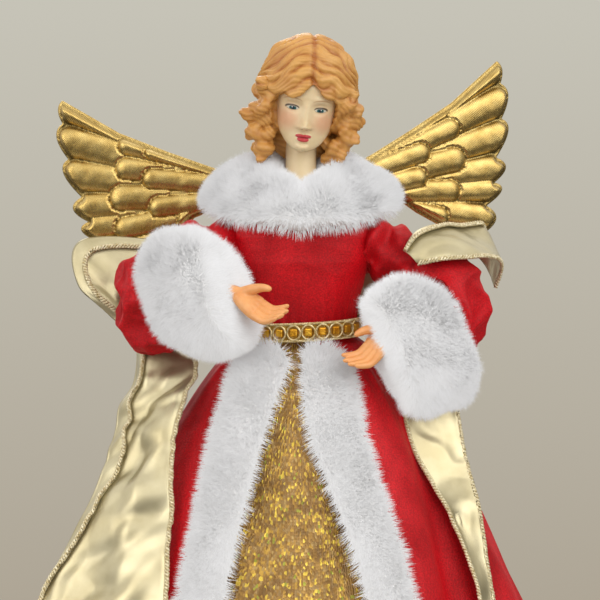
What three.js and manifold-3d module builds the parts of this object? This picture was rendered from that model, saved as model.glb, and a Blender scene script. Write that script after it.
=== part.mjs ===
// Angel tree topper: a doll with a hollow cone for a base, in millimetres, +Z up.
// The origin is on the cone's axis at the floor, and the doll faces -Y.
// Left and right are the viewer's, with the left towards -X.
import * as THREE from 'three';
import { mergeVertices } from 'three/addons/utils/BufferGeometryUtils.js';
import Module from 'manifold-3d';

const wasm = await Module();
wasm.setup();

// Driving dimensions.
const waistHeight = 250;
const bustHeight = 67;
const hemHalfWidth = 166;
const hemHalfDepth = 136;
const waistHalfWidth = 29;
const waistHalfDepth = 23;
const chestHalfWidth = 36;
const chestHalfDepth = 25;
const headHeight = 53;
const wingLength = 116;
const clearance = 0.3;

// Fabric thicknesses.
const velvetThickness = 1.6;
const brocadeThickness = 1.2;
const lameThickness = 1;

// Small tools for building closed solids.
const vector = (x, y, z) => new THREE.Vector3(x, y, z);
const lerp = THREE.MathUtils.lerp;
const radians = THREE.MathUtils.degToRad;

// A closed body from points and faces, turned so that its faces point out.
function closedBody(points, faces) {
  let volume = 0;
  for (const [a, b, c] of faces) {
    volume += points[a].dot(points[b].clone().cross(points[c]));
  }
  const outward = volume > 0 ? faces : faces.map(([a, b, c]) => [a, c, b]);
  const geometry = new THREE.BufferGeometry();
  const numbers = points.flatMap((point) => [point.x, point.y, point.z]);
  geometry.setAttribute('position', new THREE.Float32BufferAttribute(numbers, 3));
  geometry.setIndex(outward.flat());
  return geometry;
}

// A value read between the entries of a table that are evenly spaced from 0 to 1.
function between(table, share) {
  const place = THREE.MathUtils.clamp(share, 0, 1) * (table.length - 1);
  const index = Math.min(Math.floor(place), table.length - 2);
  return lerp(table[index], table[index + 1], place - index);
}

// A cloth: a patch of surface with an inner and an outer skin, joined round its edges.
// inner and outer are distances along the surface's normal, or functions of (u, v).
// A level cloth is offset sideways only, so that its hem stays flat.
function cloth(surface, inner, outer, columns, rows, closed, level = false) {
  const across = closed ? columns : columns + 1;
  const depthOf = (depth, u, v) => (typeof depth === 'function' ? depth(u, v) : depth);
  const points = [];
  const nudgeShare = 0.001;
  for (const depth of [outer, inner]) {
    for (let row = 0; row <= rows; row += 1) {
      for (let column = 0; column < across; column += 1) {
        const u = column / columns;
        const v = row / rows;
        const low = Math.max(v - nudgeShare, 0);
        const high = Math.min(v + nudgeShare, 1);
        const alongU = surface(u + nudgeShare, v).sub(surface(u - nudgeShare, v));
        const alongV = surface(u, high).sub(surface(u, low));
        const normal = alongU.cross(alongV);
        if (level) normal.z = 0;
        normal.normalize();
        points.push(surface(u, v).addScaledVector(normal, depthOf(depth, u, v)));
      }
    }
  }
  const at = (column, row, skin) => skin * across * (rows + 1) + row * across + (column % across);
  const faces = [];
  const quad = (a, b, c, d) => faces.push([a, b, c], [a, c, d]);
  for (let row = 0; row < rows; row += 1) {
    for (let column = 0; column < columns; column += 1) {
      const next = column + 1;
      quad(at(column, row, 0), at(next, row, 0), at(next, row + 1, 0), at(column, row + 1, 0));
      quad(at(column, row, 1), at(column, row + 1, 1), at(next, row + 1, 1), at(next, row, 1));
    }
  }
  for (let column = 0; column < columns; column += 1) {
    const next = column + 1;
    quad(at(column, 0, 1), at(next, 0, 1), at(next, 0, 0), at(column, 0, 0));
    quad(at(column, rows, 0), at(next, rows, 0), at(next, rows, 1), at(column, rows, 1));
  }
  for (let row = 0; row < rows && !closed; row += 1) {
    quad(at(0, row, 0), at(0, row + 1, 0), at(0, row + 1, 1), at(0, row, 1));
    quad(at(columns, row, 1), at(columns, row + 1, 1), at(columns, row + 1, 0), at(columns, row, 0));
  }
  return closedBody(points, faces);
}

// A solid swept through rings with a centre and two half axes each, capped at both ends.
function sweptRings(ringAt, sides, steps) {
  const points = [];
  for (let step = 0; step <= steps; step += 1) {
    const { centre, side, rise } = ringAt(step / steps);
    for (let corner = 0; corner < sides; corner += 1) {
      const angle = (2 * Math.PI * corner) / sides;
      const point = centre.clone().addScaledVector(side, Math.cos(angle));
      points.push(point.addScaledVector(rise, Math.sin(angle)));
    }
  }
  const first = points.push(ringAt(0).centre.clone()) - 1;
  const last = points.push(ringAt(1).centre.clone()) - 1;
  const faces = [];
  for (let corner = 0; corner < sides; corner += 1) {
    const next = (corner + 1) % sides;
    faces.push([first, next, corner]);
    faces.push([last, steps * sides + corner, steps * sides + next]);
    for (let step = 0; step < steps; step += 1) {
      const low = step * sides;
      const high = low + sides;
      faces.push([low + corner, low + next, high + next], [low + corner, high + next, high + corner]);
    }
  }
  return closedBody(points, faces);
}

// A limb: rings along a curve, each upright oval given by tables of half widths and half heights.
function limb(curve, halfWidths, halfHeights, sides, steps) {
  return sweptRings((share) => {
    const tangent = curve.getTangent(share);
    const side = tangent.clone().cross(vector(0, 0, 1)).normalize();
    const rise = side.clone().cross(tangent).normalize();
    side.multiplyScalar(between(halfWidths, share));
    rise.multiplyScalar(between(halfHeights, share));
    return { centre: curve.getPoint(share), side, rise };
  }, sides, steps);
}

// Joins and cuts.
function toSolid(geometry) {
  const bare = geometry.clone();
  bare.deleteAttribute('normal');
  bare.deleteAttribute('uv');
  const merged = mergeVertices(bare);
  return new wasm.Manifold(new wasm.Mesh({
    numProp: 3,
    vertProperties: new Float32Array(merged.attributes.position.array),
    triVerts: new Uint32Array(merged.index.array),
  }));
}

// A cut can leave slivers, so vertices closer than a hair are welded and the empty faces dropped.
const weldSize = 0.01;

function toGeometry(solid) {
  const mesh = solid.getMesh();
  const raw = new THREE.BufferGeometry();
  raw.setAttribute('position', new THREE.BufferAttribute(new Float32Array(mesh.vertProperties), 3));
  raw.setIndex(new THREE.BufferAttribute(new Uint32Array(mesh.triVerts), 1));
  const welded = mergeVertices(raw, weldSize);
  const corners = [];
  for (let start = 0; start < welded.index.count; start += 3) {
    const [a, b, c] = [0, 1, 2].map((step) => welded.index.getX(start + step));
    if (a !== b && b !== c && c !== a) corners.push(a, b, c);
  }
  welded.setIndex(corners);
  return welded;
}

function cut(geometry, cutters) {
  return toGeometry(cutters.reduce((solid, cutter) => solid.subtract(toSolid(cutter)), toSolid(geometry)));
}

function join(geometries) {
  return toGeometry(geometries.map(toSolid).reduce((sum, solid) => sum.add(solid)));
}

// A ball or egg with a half size each way, placed at a centre.
function ball(halfSizes, centre, sides) {
  const geometry = new THREE.SphereGeometry(1, sides, Math.round(sides * 0.7));
  geometry.scale(halfSizes.x, halfSizes.y, halfSizes.z);
  return geometry.translate(centre.x, centre.y, centre.z);
}

// A round rod along a curve.
function rod(curve, radius, sides, steps) {
  const section = new THREE.Shape();
  for (let corner = 0; corner <= sides; corner += 1) {
    const angle = (2 * Math.PI * corner) / sides;
    const x = radius * Math.cos(angle);
    const y = radius * Math.sin(angle);
    if (corner === 0) section.moveTo(x, y);
    else section.lineTo(x, y);
  }
  return new THREE.ExtrudeGeometry(section, { steps, bevelEnabled: false, extrudePath: curve });
}

const group = new THREE.Group();

function add(name, geometry, colour, roughness, metalness, parent = group) {
  const material = new THREE.MeshStandardMaterial({ color: colour, roughness, metalness });
  const mesh = new THREE.Mesh(geometry, material);
  mesh.name = name;
  parent.add(mesh);
  return mesh;
}

const board = 0xe8e4da;
const foam = 0xf2f0ea;
const wood = 0xc8a878;
const red = 0xb40a14;
const brocade = 0xb8963c;
const furWhite = 0xececee;
const braidGold = 0xcfa648;
const faceCream = 0xe6cda0;
const hairPeach = 0xe8a55f;
const skin = 0xf0af6e;
const wireGrey = 0x8c8c90;
const gold = 0xbea046;
const bracketWhite = 0xd8d4c8;
const stayGold = 0xb0a070;
const champagne = 0xd7cda0;

// Cone that goes over the tree's top, with a flat ring round its foot.
const ringHeight = 4;
const ringWidth = 6;
const coneFootRadius = 94;
const coneTopRadius = 17;
const coneWall = 1.6;
const coneTopDrop = 14;
const coneTopHeight = waistHeight - coneTopDrop;
const coneSides = 32;

function buildCone() {
  const slope = (coneFootRadius - coneTopRadius) / (coneTopHeight - ringHeight);
  const foot = ringHeight + clearance;
  const innerTop = coneTopHeight - coneWall;
  const profile = [
    new THREE.Vector2(0, coneTopHeight),
    new THREE.Vector2(coneTopRadius, coneTopHeight),
    new THREE.Vector2(coneTopRadius + slope * (coneTopHeight - foot), foot),
    new THREE.Vector2(coneTopRadius + slope * (coneTopHeight - foot) - coneWall, foot),
    new THREE.Vector2(coneTopRadius + slope * coneWall - coneWall, innerTop),
    new THREE.Vector2(0, innerTop),
  ];
  return new THREE.LatheGeometry(profile.reverse(), coneSides);
}

function buildRing() {
  const outer = coneFootRadius + ringWidth / 2;
  const inner = coneFootRadius - coneWall - ringWidth / 2;
  const profile = [[inner, 0], [outer, 0], [outer, ringHeight], [inner, ringHeight], [inner, 0]];
  return new THREE.LatheGeometry(profile.map(([x, y]) => new THREE.Vector2(x, y)), coneSides);
}

const cone = add('base_cone', buildCone(), board, 0.7, 0);
cone.rotation.x = Math.PI / 2;
const ring = add('base_ring', buildRing(), board, 0.6, 0);
ring.rotation.x = Math.PI / 2;

// Torso form, from the top of the cone to the seat of the neck.
const torsoFoot = coneTopHeight + clearance;
const torsoTop = waistHeight + bustHeight;
const torsoHeightShares = [0, 0.17, 0.38, 0.6, 0.76, 0.87, 0.95, 1];
const torsoWidthShares = [0.68, 0.69, 0.78, 0.93, 1, 0.87, 0.55, 0.34];
const torsoDepthShares = [0.74, 0.75, 0.84, 1, 0.96, 0.8, 0.58, 0.45];
const torsoSides = 32;
const torsoRows = torsoHeightShares.length - 1;

// The torso's surface at an angle from the front and at a share of its rows.
function torsoPoint(angle, share) {
  const halfWidth = chestHalfWidth * between(torsoWidthShares, share);
  const halfDepth = chestHalfDepth * between(torsoDepthShares, share);
  const height = lerp(torsoFoot, torsoTop, between(torsoHeightShares, share));
  return vector(halfWidth * Math.sin(angle), -halfDepth * Math.cos(angle), height);
}

// The torso's outline grown by a distance, as a solid.
function torsoSolid(grow) {
  return sweptRings((share) => {
    const rim = torsoPoint(Math.PI / 2, share);
    const front = torsoPoint(0, share);
    const lift = share * grow;
    return {
      centre: vector(0, 0, rim.z + lift),
      side: vector(rim.x + grow, 0, 0),
      rise: vector(0, front.y - grow, 0),
    };
  }, torsoSides, torsoRows);
}

// Shoulders: each arm's wire ends in a small ball, held in a socket in the torso.
const shoulderSpread = 31;
const shoulderRise = 42;
const shoulderHeight = waistHeight + shoulderRise;
const armWireRadius = 1.2;
const armBallRadius = 3.6;
const armSwing = radians(10);
const socketRadius = armBallRadius + 2 * clearance;
const socketMouth = 5;
const shoulderAt = (sideSign) => vector(sideSign * shoulderSpread, 0, shoulderHeight);

// A place round the chest, in shares of its half width and half depth and of the bust's height
// above the waist.
const bustPlace = ([across, ahead, rise]) => vector(
  across * chestHalfWidth, ahead * chestHalfDepth, waistHeight + rise * bustHeight,
);

// Elbows and wrists, with the way each hand points and the way its thumb side faces.
const leftElbowShares = [-2.17, -0.56, 0.27];
const leftWristShares = [-0.83, -1.88, 0.31];
const rightElbowShares = [2.17, -0.68, 0.16];
const rightWristShares = [1.19, -1.64, 0.04];
const arms = {
  left: {
    sideSign: -1,
    elbow: bustPlace(leftElbowShares),
    wrist: bustPlace(leftWristShares),
    forward: vector(0.83, -0.52, -0.19).normalize(),
    up: vector(0.16, -0.1, 0.98).normalize(),
  },
  right: {
    sideSign: 1,
    elbow: bustPlace(rightElbowShares),
    wrist: bustPlace(rightWristShares),
    forward: vector(-0.8, -0.38, -0.46).normalize(),
    up: vector(-0.42, -0.2, 0.88).normalize(),
  },
};
const palmLength = 13;
const wireSides = 6;
const wireSteps = 14;

function wireCurve(arm) {
  const shoulder = shoulderAt(arm.sideSign);
  const upper = shoulder.clone().lerp(arm.elbow, 0.5);
  const wristBack = arm.wrist.clone().addScaledVector(arm.forward, -palmLength * 0.8);
  const end = arm.wrist.clone().addScaledVector(arm.forward, palmLength * 0.35);
  return new THREE.CatmullRomCurve3([shoulder, upper, arm.elbow, wristBack, arm.wrist, end]);
}

// The hole that an arm's wire leaves the shoulder by, wide enough for its swing.
function socketCutter(arm) {
  const start = shoulderAt(arm.sideSign);
  const reach = chestHalfWidth;
  const end = start.clone().add(vector(arm.sideSign * reach, 0, -reach * 0.5));
  return [
    ball(vector(socketRadius, socketRadius, socketRadius), start, 10),
    rod(new THREE.LineCurve3(start, end), socketMouth, 10, 1),
  ];
}

// Peg that carries the head.
const pegRadius = 3;
const pegDepth = 22;
const pegRise = 30;

function pegSolid(grow) {
  const bottom = vector(0, 0, torsoTop - pegDepth - grow);
  const top = vector(0, 0, torsoTop + pegRise + grow);
  return rod(new THREE.LineCurve3(bottom, top), pegRadius + grow, 12, 1);
}

add('torso_form', cut(torsoSolid(0), [
  pegSolid(clearance), ...socketCutter(arms.left), ...socketCutter(arms.right),
]), foam, 0.9, 0);
add('neck_peg', pegSolid(0), wood, 0.7, 0);

// Bodice: a velvet skin round the torso with an armhole at each shoulder.
const bodiceLift = clearance;
const bodiceRows = torsoRows - 2;

function bodiceSurface(u, v) {
  return torsoPoint(2 * Math.PI * u, lerp(1, torsoRows - 1, v) / torsoRows);
}

add('bodice', cut(
  cloth(bodiceSurface, 2 * bodiceLift, 2 * bodiceLift + velvetThickness, torsoSides, bodiceRows, true),
  [...socketCutter(arms.left), ...socketCutter(arms.right)],
), red, 0.8, 0);

// Skirts: both follow one bell with folds that deepen towards the hem.
const braidWidth = 9.5;
const flareTop = waistHeight - braidWidth / 2 - 2 * clearance;
const foldCount = 10;
const foldDepth = 6;
const flarePower = 0.78;
const smallFoldCount = 6;
const smallFoldPhase = 1;
const smallFoldShare = 0.35;
const hemGap = 1;
const skirtTop = waistHeight - 1.5 * clearance;

function skirtPoint(angle, height) {
  const drop = Math.max(1 - height / flareTop, 0);
  const spread = drop ** flarePower;
  const smallWave = Math.cos(smallFoldCount * angle + smallFoldPhase);
  const wave = Math.cos(foldCount * angle) + smallFoldShare * smallWave;
  const fold = foldDepth * drop * wave;
  const halfWidth = lerp(waistHalfWidth, hemHalfWidth, spread) + fold;
  const halfDepth = lerp(waistHalfDepth, hemHalfDepth, spread) + fold;
  return vector(halfWidth * Math.sin(angle), -halfDepth * Math.cos(angle), height);
}

// Rows crowd towards the waist, where the bell bends most, and the cloth is straight between them.
// The last row is upright, under the braid.
const skirtRows = 7;
const skirtColumns = 60;
const rowCrowding = 1.25;
const waistShare = 1 - 1 / skirtRows;

function skirtHeightAt(share) {
  if (share > waistShare) return lerp(flareTop, skirtTop, (share - waistShare) * skirtRows);
  return lerp(hemGap, flareTop, 1 - (1 - Math.max(share, 0) / waistShare) ** rowCrowding);
}

function skirtDrape(angle, share) {
  const place = THREE.MathUtils.clamp(share, 0, 1) * skirtRows;
  const row = Math.min(Math.floor(place), skirtRows - 1);
  const low = skirtPoint(angle, skirtHeightAt(row / skirtRows));
  const high = skirtPoint(angle, skirtHeightAt((row + 1) / skirtRows));
  return low.lerp(high, place - row);
}

// The coat's front edges, as angles either side of the front, from the hem to the waist.
const leftEdgeAngles = [25, 25, 25.5, 27, 30, 36].map(radians);
const rightEdgeAngles = [25, 25, 25, 24.5, 21, 20].map(radians);
const edgeAngle = (table, share) => between(table, skirtHeightAt(share) / waistHeight);

function coatSurface(u, v) {
  const start = edgeAngle(rightEdgeAngles, v);
  const end = 2 * Math.PI - edgeAngle(leftEdgeAngles, v);
  return skirtDrape(lerp(start, end, u), v);
}

add('coat_skirt', cloth(
  coatSurface, -velvetThickness, 0, skirtColumns, skirtRows, false, true,
), red, 0.8, 0);

// At the waist the brocade lies close under the velvet, and lower down it hangs away from it.
const underskirtDrop = 4;
const dropPower = 4;
const underskirtSurface = (u, v) => skirtDrape(2 * Math.PI * u, v);
const underskirtDepth = (u, v) => {
  const rise = Math.min(v / waistShare, 1);
  return -velvetThickness - lerp(underskirtDrop, clearance, rise ** dropPower);
};
add('brocade_underskirt', cloth(
  underskirtSurface,
  (u, v) => underskirtDepth(u, v) - brocadeThickness,
  underskirtDepth, skirtColumns, skirtRows, true, true,
), brocade, 0.5, 0.5);

// Fur bands down the coat's front edges, pillow-shaped across their width.
const bandHalfWidth = 13;
const bandThickness = 8;
const bandLift = 1;
const bandEdgeShare = 0.15;
const bandReachShare = 0.94;
const bandColumns = 6;
const pillow = (share) => Math.sqrt(Math.max(1 - (2 * share - 1) ** 2, 0));

function bandSurface(sideSign, table) {
  return (u, v) => {
    const share = v * waistShare;
    const middle = sideSign * edgeAngle(table, share);
    const point = skirtDrape(middle, share);
    const reach = bandHalfWidth / Math.hypot(point.x, point.y);
    const narrow = Math.min(reach, Math.abs(middle) * bandReachShare);
    return skirtDrape(middle + narrow * (2 * u - 1), share);
  };
}

for (const [name, sideSign, table] of [['left', -1, leftEdgeAngles], ['right', 1, rightEdgeAngles]]) {
  const lift = (u, v) => lerp(bandLift, 2 * clearance, v);
  add(`${name}_front_fur`, cloth(
    bandSurface(sideSign, table),
    lift,
    (u, v) => lift(u, v) + bandThickness * lerp(bandEdgeShare, 1, pillow(u)),
    bandColumns, 2 * skirtRows - 2, false, true,
  ), furWhite, 1, 0);
}

// Gold braid round the waist.
const braidThickness = 1.6;
const braidColumns = 32;

function braidSurface(u, v) {
  const height = waistHeight + braidWidth * (v - 0.5);
  const angle = 2 * Math.PI * u;
  const lift = velvetThickness + 4 * clearance;
  const halfWidth = waistHalfWidth + lift;
  const halfDepth = waistHalfDepth + lift;
  return vector(halfWidth * Math.sin(angle), -halfDepth * Math.cos(angle), height);
}

add('waist_braid', cloth(braidSurface, 0, braidThickness, braidColumns, 1, true), braidGold, 0.35, 0.9);

// Fur collar: a pillowed shawl round the neck that rests on the shoulders.
const neckRadius = 8.5;
const collarHalfWidth = 51;
const collarHalfDepth = 38;
const collarHalfThickness = 11;
const collarNeckGap = 2;
const collarOuterRises = [70, 63, 53];
const collarInnerRises = [83, 82, 75];
const collarBackShare = 0.84;
const collarPillowPower = 0.8;
const collarColumns = 32;
const collarRows = 6;
const neckSides = 20;

function collarSurface(u, v) {
  const angle = 2 * Math.PI * u;
  const towardsFront = (1 + Math.cos(angle)) / 2;
  const inner = neckRadius + collarNeckGap + collarHalfThickness / 2;
  const back = lerp(collarBackShare, 1, towardsFront);
  const outerPoint = vector(
    collarHalfWidth * Math.sin(angle),
    -collarHalfDepth * back * Math.cos(angle),
    waistHeight + between(collarOuterRises, towardsFront),
  );
  const innerPoint = vector(
    inner * Math.sin(angle),
    -inner * Math.cos(angle),
    waistHeight + between(collarInnerRises, towardsFront),
  );
  return outerPoint.lerp(innerPoint, v);
}

const collarDepth = (u, v) => collarHalfThickness * lerp(bandEdgeShare, 1, pillow(v) ** collarPillowPower);
const neckCutter = (gap) => rod(
  new THREE.LineCurve3(vector(0, 0, waistHeight), vector(0, 0, waistHeight + 2 * bustHeight)),
  neckRadius + gap, neckSides, 1,
);
const bodiceDepth = 2 * bodiceLift + velvetThickness;
add('fur_collar', cut(
  cloth(collarSurface, (u, v) => -collarDepth(u, v), collarDepth, collarColumns, collarRows, true),
  [torsoSolid(bodiceDepth + clearance), neckCutter(collarNeckGap)],
), furWhite, 1, 0);

// Head: a moulded face with its neck, which turns on the peg.
const headTurnHeight = torsoTop + clearance;
const neckLength = 27;
const skullHalfWidth = 16.5;
const skullHalfDepth = 20;
const skullRise = 24;
const jawShare = 0.3;
const jawPower = 1.5;
const skullSides = 20;
const headRoll = radians(7);
const headNod = radians(9);
const headYaw = radians(4);
const headPlace = new THREE.Matrix4().compose(
  vector(0, -1 * clearance, headTurnHeight + neckLength - 2 * clearance),
  new THREE.Quaternion().setFromEuler(new THREE.Euler(headNod, headRoll, headYaw, 'ZYX')),
  vector(1, 1, 1),
);

// The skull narrows to the chin, with a small nose on the face.
function skull(grow, sides) {
  const geometry = new THREE.SphereGeometry(1, sides, Math.round(sides * 0.75));
  geometry.rotateX(Math.PI / 2);
  const place = geometry.attributes.position;
  for (let index = 0; index < place.count; index += 1) {
    const [x, y, z] = [place.getX(index), place.getY(index), place.getZ(index)];
    const low = Math.max(-z, 0);
    const narrow = 1 - jawShare * low ** jawPower;
    place.setXYZ(
      index,
      x * narrow * (skullHalfWidth + grow),
      y * (y > 0 ? narrow : 1) * (skullHalfDepth + grow),
      skullRise + z * (headHeight / 2 + grow),
    );
  }
  return geometry;
}

const noseSize = 3;

function nose() {
  const rise = skullRise - noseSize;
  const tip = vector(0, -skullHalfDepth + noseSize * 0.1, rise);
  return ball(vector(noseSize * 0.6, noseSize, noseSize), tip, 8);
}

const peg = pegSolid(clearance);
const neckRod = (gap, bottom) => rod(
  new THREE.LineCurve3(vector(0, 0, bottom), vector(0, 0, headTurnHeight + neckLength + skullRise / 3)),
  neckRadius + gap, neckSides, 1,
);
const faceAndSkull = join([skull(0, skullSides), nose()]).applyMatrix4(headPlace);
add('head', cut(join([faceAndSkull, neckRod(0, headTurnHeight)]), [peg]), faceCream, 0.45, 0);

// Hair: a moulded cap open at the face, with two tiers of curls round the sides and back.
const hairHalfWidth = 26;
const hairHalfDepth = 25;
const hairHalfHeight = 28;
const hairRise = 28.5;
const hairSetBack = 4;
const faceHalfWidth = 17;
const faceHalfHeight = 20;
const faceRise = 13;
const curlRadius = 8;
const curlCount = 8;
const curlSides = 6;
const curlStretchShare = 1.15;
const hairFillShare = 2.6;
const curlRises = [14, 4];
const curlRingRadii = [22.5, 19.5];
const curlStartAngles = [62, 56].map(radians);

function hair() {
  const cap = ball(
    vector(hairHalfWidth, hairHalfDepth, hairHalfHeight), vector(0, hairSetBack, hairRise), 18,
  );
  const fillRadius = curlRadius * hairFillShare;
  const filling = ball(
    vector(fillRadius, fillRadius, fillRadius), vector(0, hairSetBack, curlRadius), 14,
  );
  const curls = [filling];
  curlRingRadii.forEach((radius, tier) => {
    const start = curlStartAngles[tier];
    for (let index = 0; index < curlCount; index += 1) {
      const angle = lerp(start, 2 * Math.PI - start, index / (curlCount - 1));
      const behind = hairSetBack - radius * Math.cos(angle);
      const centre = vector(radius * Math.sin(angle), behind, curlRises[tier]);
      curls.push(ball(vector(curlRadius, curlRadius, curlRadius * curlStretchShare), centre, curlSides));
    }
  });
  const face = ball(
    vector(faceHalfWidth, faceHalfWidth, faceHalfHeight),
    vector(0, -skullHalfDepth - hairSetBack, faceRise), 14,
  );
  const nape = ball(vector(faceHalfWidth, faceHalfWidth, faceHalfWidth), vector(0, 0, -faceHalfWidth / 4), 10);
  return cut(join([cap, ...curls]), [face, nape, skull(1.5 * clearance, skullSides)]).applyMatrix4(headPlace);
}

add('hair', cut(hair(), [neckRod(2 * clearance, headTurnHeight)]), hairPeach, 0.5, 0);

// Hands: a palm, four fingers and a thumb, moulded as one piece on a wrist.
const wristRadius = 4;
const palmHalfWidth = 6.5;
const palmReachShare = 0.62;
const palmHalfThickness = 3.2;
const fingerLength = 15;
const thumbLength = 12;
const fingerRadius = 1.9;
const fingerSpreadShares = [0.85, 0.3, -0.25, -0.8];
const fingerLengthShares = [0.95, 1, 0.95, 0.8];
const digitTaperShares = [1, 0.95, 0.6];

function hand(arm) {
  const { forward, up } = arm;
  const inward = forward.clone().cross(up).multiplyScalar(arm.sideSign);
  const base = arm.wrist;
  const at = (ahead, high, across) => base.clone()
    .addScaledVector(forward, ahead).addScaledVector(up, high).addScaledVector(inward, across);
  const taper = digitTaperShares.map((share) => share * fingerRadius);
  const digit = (points) => limb(new THREE.CatmullRomCurve3(points), taper, taper, 5, 3);
  const pieces = [];
  const palmCentre = palmLength * palmReachShare;
  const palm = new THREE.SphereGeometry(1, 8, 6);
  palm.applyMatrix4(new THREE.Matrix4().makeBasis(
    forward.clone().multiplyScalar(palmCentre),
    up.clone().multiplyScalar(palmHalfWidth),
    inward.clone().multiplyScalar(arm.sideSign * palmHalfThickness),
  ));
  const palmAt = at(palmCentre, 0, 0);
  pieces.push(palm.translate(palmAt.x, palmAt.y, palmAt.z));
  pieces.push(limb(
    new THREE.LineCurve3(at(-palmLength * 0.7, 0, 0), at(palmCentre, 0, 0)),
    [wristRadius, wristRadius * 0.8], [wristRadius, wristRadius * 0.8], 8, 1,
  ));
  fingerSpreadShares.forEach((spreadShare, index) => {
    const length = fingerLength * fingerLengthShares[index];
    const high = spreadShare * palmHalfWidth;
    pieces.push(digit([
      at(palmLength * 0.8, high * 0.8, 0),
      at(palmLength + length * 0.45, high * 1.15, palmHalfThickness * 0.2),
      at(palmLength + length, high * 1.4, palmHalfThickness * 0.9),
    ]));
  });
  pieces.push(digit([
    at(palmLength * 0.35, palmHalfWidth * 0.6, 0),
    at(palmLength * 0.6 + thumbLength * 0.3, palmHalfWidth + thumbLength * 0.35, 0),
    at(palmLength * 0.6 + thumbLength * 0.75, palmHalfWidth + thumbLength * 0.45, 0),
  ]));
  return join(pieces);
}

// Cuffs: fat fur rings round the ends of the sleeves.
const cuffLength = 36;
const palmRoom = 2.4;
const cuffEndShares = [0.72, 0.95, 1, 0.95, 0.72];
const leftCuffShares = [-1.44, -1.32, 0.3];
const rightCuffShares = [1.67, -1.36, -0.08];
const cuffs = {
  left: {
    centre: bustPlace(leftCuffShares),
    axis: vector(0.84, -0.54, 0.1).normalize(),
    halfWidth: 25,
    halfHeight: 33,
  },
  right: {
    centre: bustPlace(rightCuffShares),
    axis: vector(-0.9, -0.4, -0.19).normalize(),
    halfWidth: 19,
    halfHeight: 36,
  },
};

function cuffSolid(cuff, grow) {
  const reach = cuff.axis.clone().multiplyScalar(cuffLength / 2 + grow);
  const curve = new THREE.LineCurve3(cuff.centre.clone().sub(reach), cuff.centre.clone().add(reach));
  const widths = cuffEndShares.map((share) => share * cuff.halfWidth + grow);
  const heights = cuffEndShares.map((share) => share * cuff.halfHeight + grow);
  return limb(curve, widths, heights, 16, 4);
}

// Sleeves: stuffed velvet from the armhole to the cuff, swelling at the elbow.
const sleeveGap = 3.5;
const upperSleeveWidths = [9, 15, 19, 20];
const upperSleeveHeights = [10, 17, 23, 25];
const sleeveSides = 16;
const leftSleeveShares = [-2.03, -0.44, 0.22];
const rightSleeveShares = [2.11, -0.56, 0.19];
const elbowFitShare = 0.97;
const cuffMouthShare = 0.75;
const sleeves = {
  left: { elbow: bustPlace(leftSleeveShares), elbowHalfWidth: 22, elbowHalfHeight: 27 },
  right: { elbow: bustPlace(rightSleeveShares), elbowHalfWidth: 19, elbowHalfHeight: 24 },
};

function sleeve(name) {
  const { elbow, elbowHalfWidth, elbowHalfHeight } = sleeves[name];
  const arm = arms[name];
  const cuff = cuffs[name];
  const start = shoulderAt(arm.sideSign);
  start.x = arm.sideSign * (chestHalfWidth + bodiceDepth + sleeveGap);
  start.z -= sleeveGap / 2;
  const middle = start.clone().lerp(elbow, 0.5);
  middle.z += sleeveGap;
  const end = cuff.centre.clone().addScaledVector(cuff.axis, -cuffLength / 4);
  const lowerWidths = [elbowHalfWidth * elbowFitShare, cuff.halfWidth * cuffMouthShare];
  const lowerHeights = [elbowHalfHeight * elbowFitShare, cuff.halfHeight * cuffMouthShare];
  const upperCurve = new THREE.CatmullRomCurve3([start, middle, elbow]);
  return join([
    limb(upperCurve, upperSleeveWidths, upperSleeveHeights, sleeveSides, 4),
    ball(vector(elbowHalfWidth, elbowHalfWidth, elbowHalfHeight), elbow, sleeveSides),
    limb(new THREE.LineCurve3(elbow, end), lowerWidths, lowerHeights, sleeveSides, 2),
  ]);
}

for (const name of ['left', 'right']) {
  const arm = arms[name];
  const wire = wireCurve(arm);
  const bore = rod(wire, armWireRadius + 1.5 * clearance, wireSides, wireSteps);
  const shoulderBall = ball(vector(armBallRadius, armBallRadius, armBallRadius), shoulderAt(arm.sideSign), 8);
  const wireRod = rod(wire, armWireRadius, wireSides, wireSteps);
  add(`${name}_arm_wire`, join([shoulderBall, wireRod]), wireGrey, 0.4, 0.9);
  const { forward } = arm;
  const boreEnd = vector(1, 1, 1).multiplyScalar(armWireRadius + 2 * clearance);
  add(`${name}_hand`, cut(hand(arm), [bore, ball(boreEnd, wire.getPoint(1), 6)]), skin, 0.45, 0);
  const wristHole = limb(
    new THREE.LineCurve3(
      arm.wrist.clone().addScaledVector(forward, -1.2 * palmLength),
      arm.wrist.clone().addScaledVector(forward, 2 * palmLength),
    ),
    [wristRadius + 2 * clearance, wristRadius + palmRoom],
    [wristRadius + 2 * clearance, palmHalfWidth + palmRoom], 8, 1,
  );
  add(`${name}_cuff`, cut(cuffSolid(cuffs[name], 0), [wristHole, bore]), furWhite, 1, 0);
  add(`${name}_sleeve`, cut(sleeve(name), [bore, cuffSolid(cuffs[name], clearance)]), red, 0.8, 0);
}

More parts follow.
